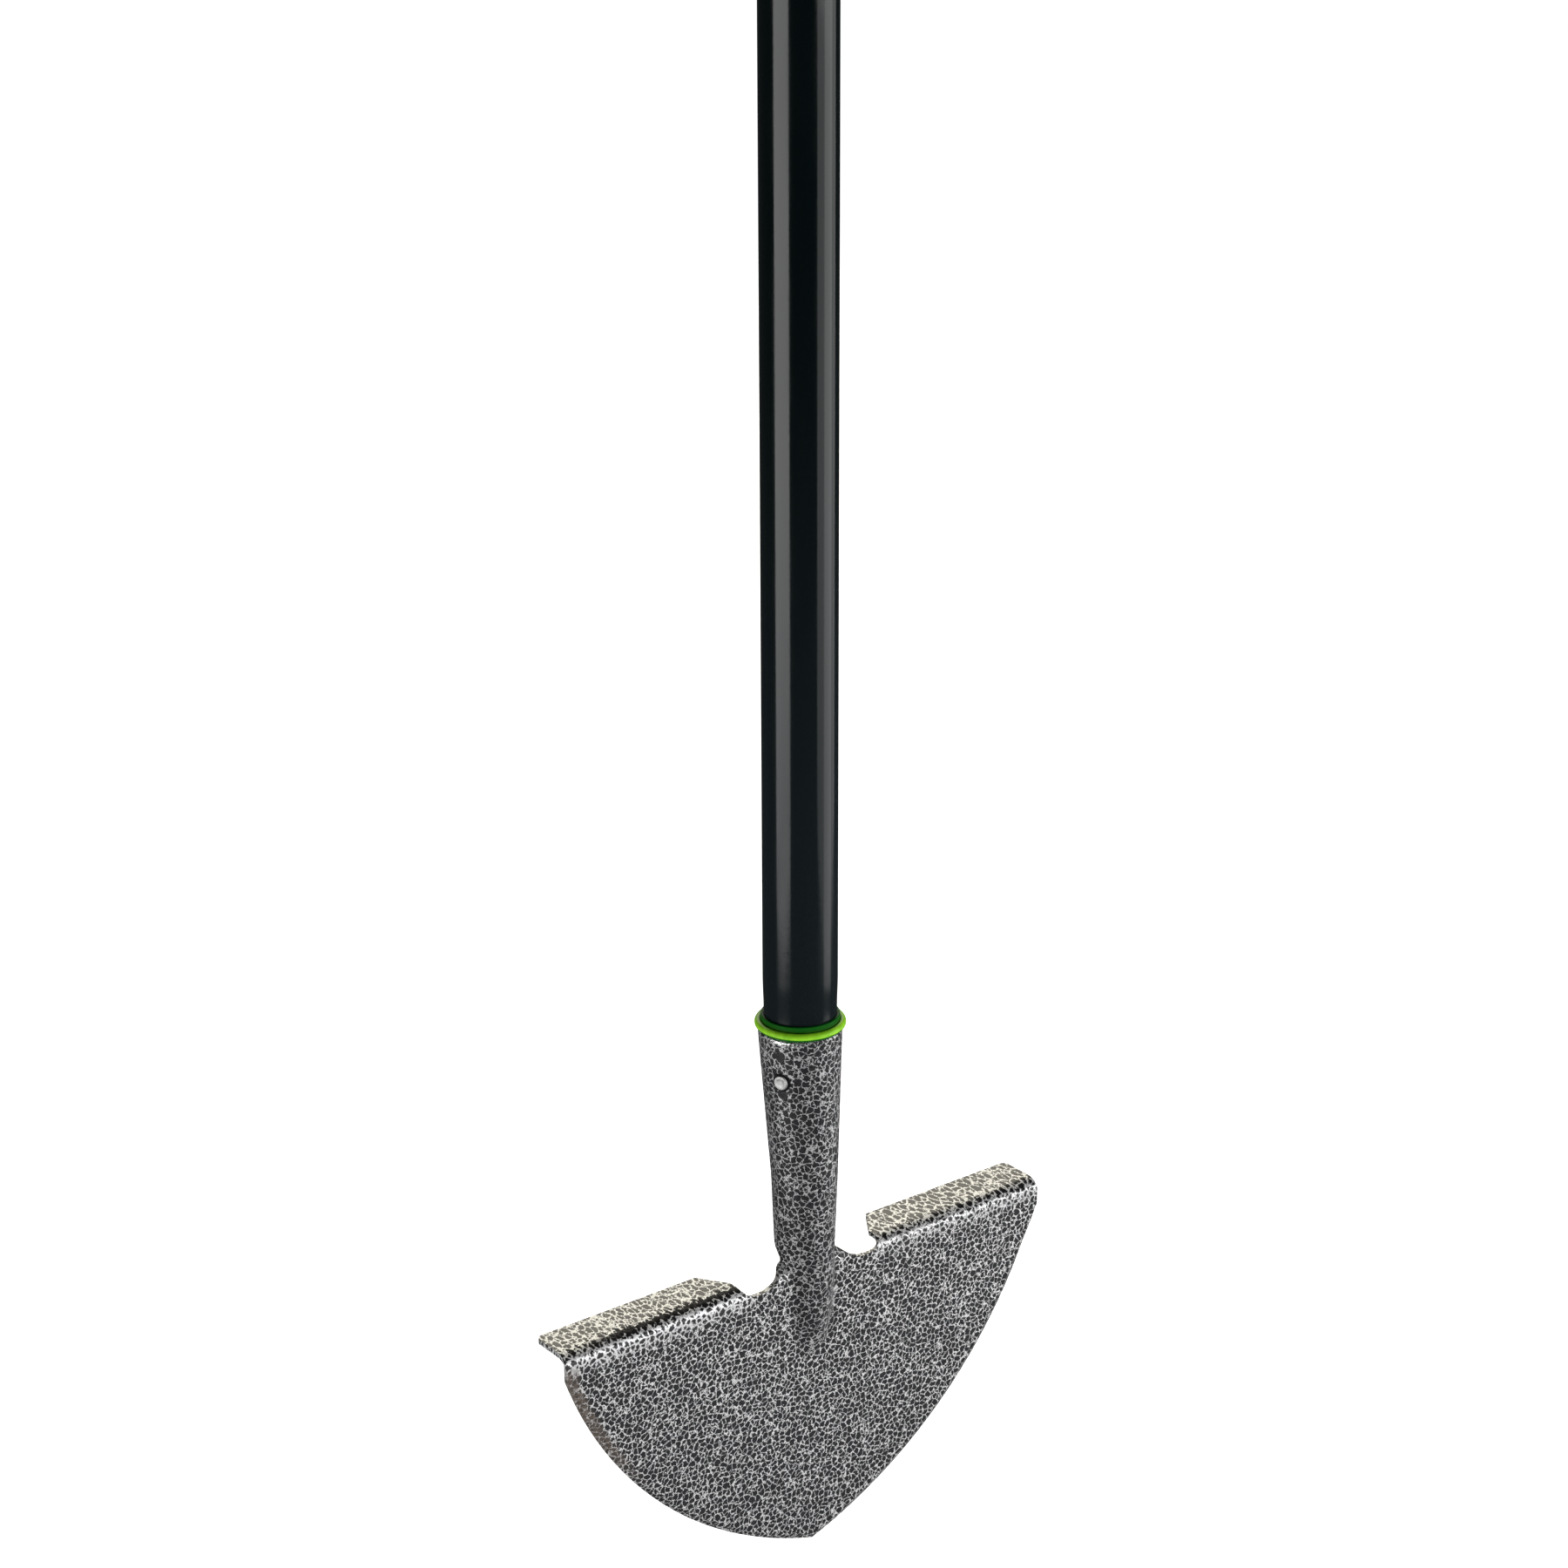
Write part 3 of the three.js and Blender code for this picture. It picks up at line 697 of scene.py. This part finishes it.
def painted_highlight_band(nodes, here, height):
    """Painted highlight: the bright band on the blade just under the fold, weaker on the right."""
    across = nodes.separate(here, "X")
    weaker = nodes.remap_mm(across, 10, -10, 0.55, 1.0)
    beside = nodes.remap_mm(nodes.math("ABSOLUTE", across), NOTCH_X - 1.5, NOTCH_X + 6.5)
    above_foot = nodes.remap_mm(height, BAND_FOOT_Z, BAND_FULL_Z)
    below_fold = nodes.remap_mm(height, TREAD_TOP - 0.6, TREAD_TOP - 1.9)
    return nodes.product(above_foot, below_fold, weaker, beside)


def on_ridge_or_socket(nodes, here, height):
    """Where the flake is greyer: along the ridge, as painted shade on its face, and up the socket.
    """
    away = nodes.math("ABSOLUTE", nodes.separate(here, "X"))
    near_middle = nodes.remap_mm(away, 12, 8)
    up_ridge = nodes.remap_mm(height, ridge_end - 1.9, ridge_end + 12.1)
    up_socket = nodes.remap_mm(height, TREAD_TOP + 1.1, TREAD_TOP + 18.1)
    return nodes.math("MAXIMUM", nodes.product(near_middle, up_ridge), up_socket)


def rim_glint(nodes, here, height):
    """Painted glint: a patch of smooth bright metal on the socket's rim at its front left, put
    only where the left light glints.
    """
    facing = direction(GLINT_AZIMUTH, 0)
    towards = nodes.vector_math("DOT_PRODUCT", here, facing, output="Value")
    on_side = nodes.remap_mm(towards, 0.87 * RIM_RADIUS, 0.92 * RIM_RADIUS)
    at_rim = nodes.remap_mm(height, RIM_Z - 2.4, RIM_Z - 1.6)
    ragged = nodes.remap(nodes.noise(here, 0.9, detail=3.0), 0.42, 0.50)
    return nodes.product(on_side, at_rim, ragged)


def painted_edge_reflection(nodes, here, height):
    """Painted reflection: a soft brown-grey band down the upper part of the blade's left edge."""
    across = nodes.separate(here, "X")
    sheet_plane = nodes.vector_math("MULTIPLY", here, (1, 0, 1))
    centre = Vector((EDGE_CENTRE_X, 0, EDGE_CENTRE_Z)) * MM
    radius = nodes.length(nodes.vector_math("SUBTRACT", sheet_plane, centre))
    near_arc = nodes.remap_mm(radius, edge_radius - 5.5, edge_radius - 2.5)
    near_side = nodes.remap_mm(across, 6.5 - BLADE_HALF_WIDTH, 2.5 - BLADE_HALF_WIDTH)
    near_edge = nodes.math("MAXIMUM", near_arc, near_side)
    on_left = nodes.remap_mm(across, -60, -90)
    above_foot = nodes.remap_mm(height, EDGE_REFLECTION_FOOT_Z, EDGE_REFLECTION_FULL_Z)
    below_fold = nodes.remap_mm(height, TREAD_TOP - 2.9, TREAD_TOP - 7.9)
    patchy = nodes.remap(nodes.noise(here, 1.5, detail=2.0), 0.35, 0.6, 0.45, 0.95)
    return nodes.product(near_edge, on_left, above_foot, below_fold, patchy)


def painted_shade(nodes, here, height, dome):
    """Painted shade, nearly black: a painted shadow ring round the rivet's head and the painted
    dark line along the fold.
    """
    from_axis = rivet_distance(nodes, here)
    ring = nodes.remap_mm(from_axis, RIVET_HEAD + 1.2, RIVET_HEAD + 0.6)
    line = fold_shadow(nodes, here, height, dome)
    return nodes.product(nodes.math("MAXIMUM", ring, line), 0.95)


def hammertone_paint():
    """Dark glossy cells in a broken network of bright metal flake, with painted highlight, glint,
    reflection and shade.
    """
    nodes = Nodes("hammertone_paint")
    here = nodes.position()
    height = nodes.separate(here, "Z")
    up = nodes.separate(nodes.add("TexCoord").outputs["Normal"], "Z")
    on_tread = nodes.remap(up, 0.6, 0.9)
    fold_highlight = painted_highlight_band(nodes, here, height)
    glint = rim_glint(nodes, here, height)
    edge_reflection = painted_edge_reflection(nodes, here, height)

    # The right tread's cells come out larger than the left one's.
    tread_scale = nodes.remap_mm(nodes.separate(here, "X"), -10, 10, 1.15, 0.95)
    tread_here = nodes.vector_math("MULTIPLY", here, tread_scale)
    fine = vein_network(nodes, here, cell_mm=2.25, stretch=1.0, thickness=1.0)
    wide = vein_network(nodes, tread_here, cell_mm=2.45, stretch=1.8, thickness=1.5)
    dome, vein = [nodes.blend(on_tread, a, b) for a, b in zip(fine, wide)]
    vein = nodes.product(vein, nodes.inverse(paint_drops(nodes, here)))
    # Painted highlight under the fold: thicker veins there, with greyer cells and flake.
    thick_vein = nodes.remap(fine[0], 0.26, 0.56, 0.75, 0.0)
    vein = nodes.math("MAXIMUM", vein, nodes.product(fold_highlight, thick_vein))

    fleck = nodes.noise(here, 0.5, detail=3.0)
    cell = nodes.mix(nodes.remap(fleck, 0.35, 0.7), CELL_DARK, CELL_GREY)
    cell = nodes.mix(fold_highlight, cell, CELL_GREY)
    flake = nodes.mix(nodes.remap(fleck, 0.3, 0.7), FLAKE_GREY, FLAKE_WHITE)
    flake = nodes.mix(fold_highlight, flake, FLAKE_IN_HIGHLIGHT)
    # Greyer flake: painted shade along the ridge, and up the socket.
    flake = nodes.mix(on_ridge_or_socket(nodes, here, height), flake, FLAKE_ON_SOCKET)
    paint = nodes.mix(vein, cell, flake)
    # Painted reflection: a brown-grey band down the blade's left edge, less metallic there.
    paint = nodes.mix(edge_reflection, paint, EDGE_REFLECTION_BROWN)
    # Painted glint: smooth bright metal on the rim at its front left.
    paint = nodes.mix(glint, paint, GLINT_METAL)

    # Painted shade: nearly black round the rivet's head and along the fold.
    shade = painted_shade(nodes, here, height, dome)
    metal = nodes.product(vein, nodes.inverse(edge_reflection), 0.7)
    gloss = nodes.blend(on_tread, 0.28, 0.5)
    nodes.set(
        Base_Color=nodes.mix(shade, paint, SHADE_BLACK),
        Metallic=nodes.math("MAXIMUM", metal, glint),
        Roughness=nodes.blend(glint, nodes.remap(vein, 0, 1, 0.36, 0.55), 0.22),
        Specular_IOR_Level=nodes.blend(shade, gloss, 0.06),
        Normal=nodes.bump(dome, depth_mm=0.07, strength=0.8),
    )
    return nodes.material


def rivet_metal():
    """Bright aluminium with the faint haze and pits of a pressed head."""
    nodes = Nodes("rivet_metal")
    here = nodes.position()
    pits = nodes.noise(here, 0.35, detail=4.0)
    haze = nodes.remap(nodes.noise(here, 1.4, detail=2.0), 0.3, 0.7)
    nodes.set(
        Base_Color=nodes.mix(haze, (0.45, 0.45, 0.44), (0.62, 0.62, 0.60)),
        Metallic=0.75,
        Roughness=nodes.remap(pits, 0.3, 0.7, 0.35, 0.55),
        Normal=nodes.bump(pits, depth_mm=0.03),
    )
    return nodes.material


def tube_steel():
    """Bare drawn steel with faint lengthways streaks and a little discolouring."""
    nodes = Nodes("tube_steel")
    here = nodes.position()
    stretched = nodes.vector_math("MULTIPLY", here, (1, 1, 0.06))
    streaks = nodes.noise(stretched, 0.6, detail=3.0)
    stain = nodes.remap(nodes.noise(here, 9.0, detail=4.0), 0.55, 0.75)
    nodes.set(
        Base_Color=nodes.mix(stain, (0.34, 0.35, 0.36), (0.16, 0.12, 0.09)),
        Metallic=0.85,
        Roughness=nodes.remap(streaks, 0.3, 0.7, 0.3, 0.5),
        Normal=nodes.bump(streaks, depth_mm=0.02),
    )
    return nodes.material


def black_covering():
    """Glossy blue-black coating with fine specks, lighter and less glossy towards its lower end;
    the lighter colour there is painted fill light.
    """
    nodes = Nodes("black_covering")
    here = nodes.position()
    height = nodes.separate(here, "Z")
    # Painted fill light: the black turns lighter towards the lower end.
    lower_end = nodes.remap_mm(height, 500, 215)
    speck = nodes.remap(nodes.noise(here, 0.45, detail=2.0), 0.62, 0.78, 0.0, 0.35)
    plain_black = nodes.mix(speck, (0.0004, 0.0022, 0.0026), (0.005, 0.008, 0.009))
    painted_fill_black = nodes.mix(speck, (0.0060, 0.0095, 0.0110), (0.018, 0.021, 0.023))
    smear = nodes.noise(nodes.vector_math("MULTIPLY", here, (1, 1, 0.15)), 6.0, detail=3.0)
    peel = nodes.noise(here, 1.8, detail=2.0)
    nodes.set(
        Base_Color=nodes.mix(lower_end, plain_black, painted_fill_black),
        Roughness=nodes.remap(smear, 0.3, 0.7, 0.10, 0.16),
        Specular_IOR_Level=nodes.remap(lower_end, 0, 1, 0.5, 0.33),
        Normal=nodes.bump(peel, depth_mm=0.02, strength=0.5),
    )
    return nodes.material


def green_plastic():
    """Lime plastic: bright where it stands clear, deep green where it thins over the black shaft,
    partly painted shade there; the bead's lower half is deep green as painted shade.
    """
    nodes = Nodes("green_plastic")
    here = nodes.position()
    across = nodes.vector_math("MULTIPLY", here, (1, 1, 0))
    clear_of_shaft = nodes.remap_mm(nodes.length(across), 14.2, 15.3)
    cloud = nodes.remap(nodes.noise(here, 3.0, detail=3.0), 0.3, 0.7)
    lime = nodes.mix(cloud, (0.21, 0.53, 0.016), (0.30, 0.67, 0.028))
    height = nodes.separate(here, "Z")
    bead_middle = box_mm("collar")[0].z + BEAD_RADIUS
    # Painted shade: the bead's lower half takes the deep green.
    above_middle = nodes.remap_mm(height, bead_middle - 0.7, bead_middle - 0.1)
    lit_bead_top = nodes.product(clear_of_shaft, above_middle)
    on_cap = nodes.remap_mm(height, 900, 910)
    thick_and_lit = nodes.math("MAXIMUM", lit_bead_top, on_cap)
    grain = nodes.noise(here, 0.4, detail=2.0)
    nodes.set(
        Base_Color=nodes.mix(thick_and_lit, (0.002, 0.080, 0.006), lime),
        Roughness=nodes.remap(grain, 0.3, 0.7, 0.26, 0.36),
        Specular_IOR_Level=nodes.remap(thick_and_lit, 0, 1, 0.03, 0.14),
        Normal=nodes.bump(cloud, depth_mm=0.03, strength=0.5),
    )
    return nodes.material


def grip_rubber():
    """Soft black rubber with a fine stipple, polished a little in soft patches."""
    nodes = Nodes("grip_rubber")
    here = nodes.position()
    stipple = vein_distance(nodes, here, cell_mm=0.8)
    wear = nodes.remap(nodes.noise(here, 14.0, detail=3.0), 0.35, 0.7)
    nodes.set(
        Base_Color=nodes.mix(wear, (0.012, 0.013, 0.013), (0.017, 0.018, 0.018)),
        Roughness=nodes.remap(wear, 0, 1, 0.70, 0.61),
        Normal=nodes.bump(nodes.remap(stipple, 0.0, 0.3), depth_mm=0.12, strength=0.7),
    )
    return nodes.material


# ---- The pieces ----
def painted_head(material):
    grids = [blade_rows(), socket_rows(), tread_rows(-1), tread_rows(1)]
    piece = add_piece("painted_head", *sheet_body(grids), sharp_degrees=22)
    combine(piece, rivet_hole(), "DIFFERENCE")
    round_edges(piece, SHEET_EDGE_ROUND)
    return dress(piece, "edger_head", material)


def pressed_rivet(material):
    """Low heads with a rolled edge and a shallow dimple, one at each end of the shank."""
    seat = socket_radius(RIVET_Z) + CLEARANCE
    top = seat + RIVET_HEAD_HEIGHT
    chamfer = 0.1
    edge_round = 0.35
    dimple = 0.12
    dimple_floor = 0.9
    dimple_rim = 1.9
    upper = [(RIVET_SHANK, seat), (RIVET_HEAD - chamfer, seat), (RIVET_HEAD, seat + chamfer)]
    upper += arc(RIVET_HEAD - edge_round, top - edge_round, edge_round, 0, 90, 6)
    for radius in spaced(dimple_rim, 0, 10):
        sink = dimple * (1 - smoothstep(radius, dimple_floor, dimple_rim))
        upper.append((radius, top - sink))
    lower = [(radius, -z) for radius, z in reversed(upper)]
    piece = lay_on_rivet(turned("pressed_rivet", lower + upper, segments=56))
    return dress(piece, "socket_rivet", material)


def steel_tube(material):
    """The shaft's core. Its lower end is swaged to follow the socket's bore, and leans with it."""
    low, high = box_mm("shaft_tube")
    cad_facets = 36
    facet_factor = math.cos(math.pi / cad_facets)

    def outer(z):
        return min(TUBE_RADIUS, (socket_radius(z) - SHEET) * facet_factor - CLEARANCE)

    heights = spaced(low.z, RIM_Z, 40) + [high.z]
    lip = 0.3
    outside = [(outer(low.z) - lip, low.z)]
    outside += [(outer(z), z) for z in [low.z + lip] + heights[1:]]
    inside = [(outer(z) - TUBE_WALL, z) for z in reversed(heights)]
    piece = turned("steel_tube", outside + inside)
    for vertex in piece.data.vertices:
        vertex.co.y += socket_centre_y(vertex.co.z / MM) * MM
    combine(piece, rivet_hole(), "DIFFERENCE")
    return dress(piece, "shaft_tube", material)


def shaft_covering(material):
    """The shaft's black sleeve, drawn in a little where the collar grips it."""
    low, high = box_mm("shaft_sleeve")
    roll_in_end = low.z + 6
    full_width_z = low.z + 20
    bore = SLEEVE_RADIUS - SLEEVE_WALL
    profile = [(bore - SLEEVE_ROLL_IN, low.z)]
    for z in spaced(low.z, full_width_z, 16):
        roll_in = SLEEVE_ROLL_IN * (1 - smoothstep(z, roll_in_end, full_width_z))
        profile.append((SLEEVE_RADIUS - roll_in, z))
    profile += [(SLEEVE_RADIUS, z) for z in spaced(full_width_z, high.z, 60)[1:]]
    profile += [(bore, high.z), (bore, full_width_z)]
    piece = turned("shaft_covering", profile)
    return dress(piece, "shaft_sleeve", material)


def collar_ring(material):
    """A round bead over the socket's rim, with a short neck that hugs the shaft."""
    low, high = box_mm("collar")
    bead_r = high.x - BEAD_RADIUS
    bead_z = low.z + BEAD_RADIUS
    slack = 0.12
    throat_round = 0.45
    throat_z = bead_z + 2.1
    lip_round = 0.3
    bore = SLEEVE_RADIUS - SLEEVE_ROLL_IN + slack
    profile = [(bore, low.z)]
    profile += arc(bead_r, bead_z, BEAD_RADIUS, -90, 125, 26)
    profile += arc(COLLAR_NECK + throat_round, throat_z, throat_round, 230, 180, 6)
    profile += [(COLLAR_NECK, high.z - 0.5)]
    profile += arc(COLLAR_NECK - lip_round, high.z - lip_round, lip_round, 0, 90, 6)
    profile += [(bore, high.z)]
    piece = turned("collar_ring", profile)
    return dress(piece, "collar", material)


def soft_grip(material):
    """A rubber sleeve with a rolled lip at each end and rounded grooves between its ribs."""
    low, high = box_mm("hand_grip")
    lip = high.x
    middle = (low.z + high.z) / 2
    grooves = [middle + (i - (GRIP_RIBS - 1) / 2) * GRIP_RIB_PITCH for i in range(GRIP_RIBS)]
    groove_half = 2.6
    flare_end = 2.4 * GRIP_LIP_HEIGHT

    def side(z):
        """The outer radius: flared at both ends, less each groove's rounded dip."""
        from_end = min(z - low.z, high.z - z)
        flare = 1 - smoothstep(from_end, GRIP_LIP_HEIGHT, flare_end)
        radius = GRIP_RADIUS + (lip - GRIP_RADIUS) * flare
        for groove in grooves:
            away = min(abs(z - groove) / groove_half, 1)
            radius -= GRIP_GROOVE * (0.5 + 0.5 * math.cos(math.pi * away))
        return radius

    round_end = 0.9
    bore = SLEEVE_RADIUS + CLEARANCE
    profile = [(bore, low.z)]
    profile += arc(lip - round_end, low.z + round_end, round_end, -90, 0, 8)
    profile += [(side(z), z) for z in spaced(low.z + round_end, high.z - round_end, 240)[1:-1]]
    profile += arc(lip - round_end, high.z - round_end, round_end, 0, 90, 8)
    profile += [(bore, high.z)]
    piece = turned("soft_grip", profile)
    return dress(piece, "hand_grip", material)


def cap_eye(base, eye_z):
    """The flat hanging eye, with its hole cut through."""
    foot = base + 2
    outline = [(EYE_RADIUS, foot)] + arc(0, eye_z, EYE_RADIUS, 0, 180, 32) + [(-EYE_RADIUS, foot)]
    count = len(outline)
    half = EYE_THICKNESS / 2
    points = [(x, -half, z) for x, z in outline] + [(x, half, z) for x, z in outline]
    faces = [list(range(count)), list(reversed(range(count, 2 * count)))]
    faces += [[i, i + count, (i + 1) % count + count, (i + 1) % count] for i in range(count)]
    eye = add_piece("cap_eye", points, faces)
    hole = turned("eye_hole", rod(EYE_HOLE, EYE_THICKNESS), segments=48)
    place = Matrix.Translation((0, 0, eye_z * MM))
    hole.data.transform(place @ Matrix.Rotation(math.pi / 2, 4, "X"))
    combine(eye, hole, "DIFFERENCE")
    return eye


def moulded_cap(material):
    """A plug for the shaft's top with a domed flange and a hanging eye, moulded in one."""
    low, high = box_mm("end_cap")
    base = low.z + CAP_STEM
    stem = TUBE_RADIUS - TUBE_WALL - CLEARANCE
    stem_chamfer = 1.0
    flange_chamfer = 0.5
    flange_round = 2.0
    flange_top = base + CAP_FLANGE
    crown = 1.0
    profile = [(0, low.z), (stem - stem_chamfer, low.z), (stem, low.z + stem_chamfer)]
    profile += [(stem, base), (high.x - flange_chamfer, base), (high.x, base + flange_chamfer)]
    profile += arc(high.x - flange_round, flange_top - flange_round, flange_round, 0, 80, 8)
    profile += [(0, flange_top + crown)]
    piece = turned("moulded_cap", profile)
    combine(piece, cap_eye(base, high.z - EYE_RADIUS), "UNION")
    mould_together(piece)
    return dress(piece, "end_cap", material)


def build_tool():
    green = green_plastic()
    painted_head(hammertone_paint())
    pressed_rivet(rivet_metal())
    steel_tube(tube_steel())
    shaft_covering(black_covering())
    collar_ring(green)
    soft_grip(grip_rubber())
    moulded_cap(green)


# ---- The studio ----
def add_camera():
    """Looks down at the head from its front left, with the shaft running out of the frame."""
    back = direction(CAMERA_AZIMUTH, CAMERA_ELEVATION)
    level = direction(CAMERA_AZIMUTH + 90, 0)
    upright = level.cross(-back)
    right = math.cos(CAMERA_ROLL) * level + math.sin(CAMERA_ROLL) * upright
    up = math.cos(CAMERA_ROLL) * upright - math.sin(CAMERA_ROLL) * level
    aim = Vector((0, 0, CAMERA_AIM_Z))
    place = (aim + CAMERA_DISTANCE * back - CAMERA_SIDEWAYS * right) * MM
    data = bpy.data.cameras.new("camera")
    data.lens = 78
    data.sensor_width = 36
    camera = bpy.data.objects.new("camera", data)
    columns = Matrix((right, up, back)).transposed().to_4x4()
    camera.matrix_world = Matrix.Translation(place) @ columns
    bpy.context.scene.collection.objects.link(camera)
    bpy.context.scene.camera = camera


def softbox(name, azimuth, elevation, distance, size, power, aim_z=0.28, colour=(1, 1, 1)):
    """A rectangular soft light, in metres and watts, aimed at a height on the shaft's axis."""
    data = bpy.data.lights.new(name, "AREA")
    data.shape = "RECTANGLE"
    data.size, data.size_y = size
    data.energy = power
    data.color = colour
    light = bpy.data.objects.new(name, data)
    towards = direction(azimuth, elevation)
    light.location = Vector((0, 0, aim_z)) + towards * distance
    light.rotation_mode = "QUATERNION"
    light.rotation_quaternion = (-towards).to_track_quat("-Z", "Y")
    bpy.context.scene.collection.objects.link(light)


def add_lights():
    """Level panels on both sides for the gloss, one for the flake and a warm one behind."""
    softbox("left_panel", azimuth=-90, elevation=0, distance=1.9,
            size=(1.6, 1.1), power=16.5, aim_z=-0.03)
    softbox("right_panel", azimuth=50, elevation=0, distance=1.9,
            size=(2.7, 1.15), power=10.1, aim_z=-0.02)
    softbox("right_core", azimuth=53, elevation=0, distance=1.7,
            size=(0.9, 1.1), power=3.3, aim_z=-0.03)
    softbox("flake_light", azimuth=38, elevation=13, distance=2.0, size=(2.2, 0.7), power=24)
    softbox("back_panel", azimuth=146, elevation=30, distance=2.1,
            size=(1.8, 1.4), power=22.5, colour=(1.0, 0.95, 0.80))


def add_world():
    world = bpy.data.worlds.new("studio")
    world.use_nodes = True
    background = world.node_tree.nodes["Background"]
    background.inputs["Color"].default_value = (0.95, 0.97, 1.0, 1)
    background.inputs["Strength"].default_value = 0.03
    bpy.context.scene.world = world


def flat_white(name):
    """A pale matt surface that glows a little, like paper over a light table."""
    nodes = Nodes(name)
    nodes.set(Base_Color=(0.85, 0.85, 0.85, 1), Roughness=0.9, Specular_IOR_Level=0.1)
    nodes.set(Emission_Color=(1, 1, 1, 1), Emission_Strength=1.0)
    return nodes.material


def add_stage():
    """A pale floor under the tip and a white dome far behind it, both kept out of reflections."""
    signs = ((-1, -1), (1, -1), (1, 1), (-1, 1))
    corners = [(x * FLOOR_HALF, y * FLOOR_HALF, 0) for x, y in signs]
    floor = add_piece("floor", corners, [[0, 1, 2, 3]])
    floor.data.materials.append(flat_white("pale_floor"))
    floor.visible_glossy = False
    floor.visible_shadow = False
    dome_mesh = bpy.data.meshes.new("dome")
    shell = bmesh.new()
    bmesh.ops.create_icosphere(shell, subdivisions=4, radius=DOME_RADIUS)
    shell.to_mesh(dome_mesh)
    shell.free()
    dome = bpy.data.objects.new("dome", dome_mesh)
    bpy.context.scene.collection.objects.link(dome)
    dome.data.materials.append(flat_white("white_dome"))
    dome.visible_glossy = False
    dome.visible_diffuse = False
    dome.visible_shadow = False


build_tool()
add_camera()
add_lights()
add_world()
add_stage()
bpy.context.scene.view_settings.view_transform = "Standard"
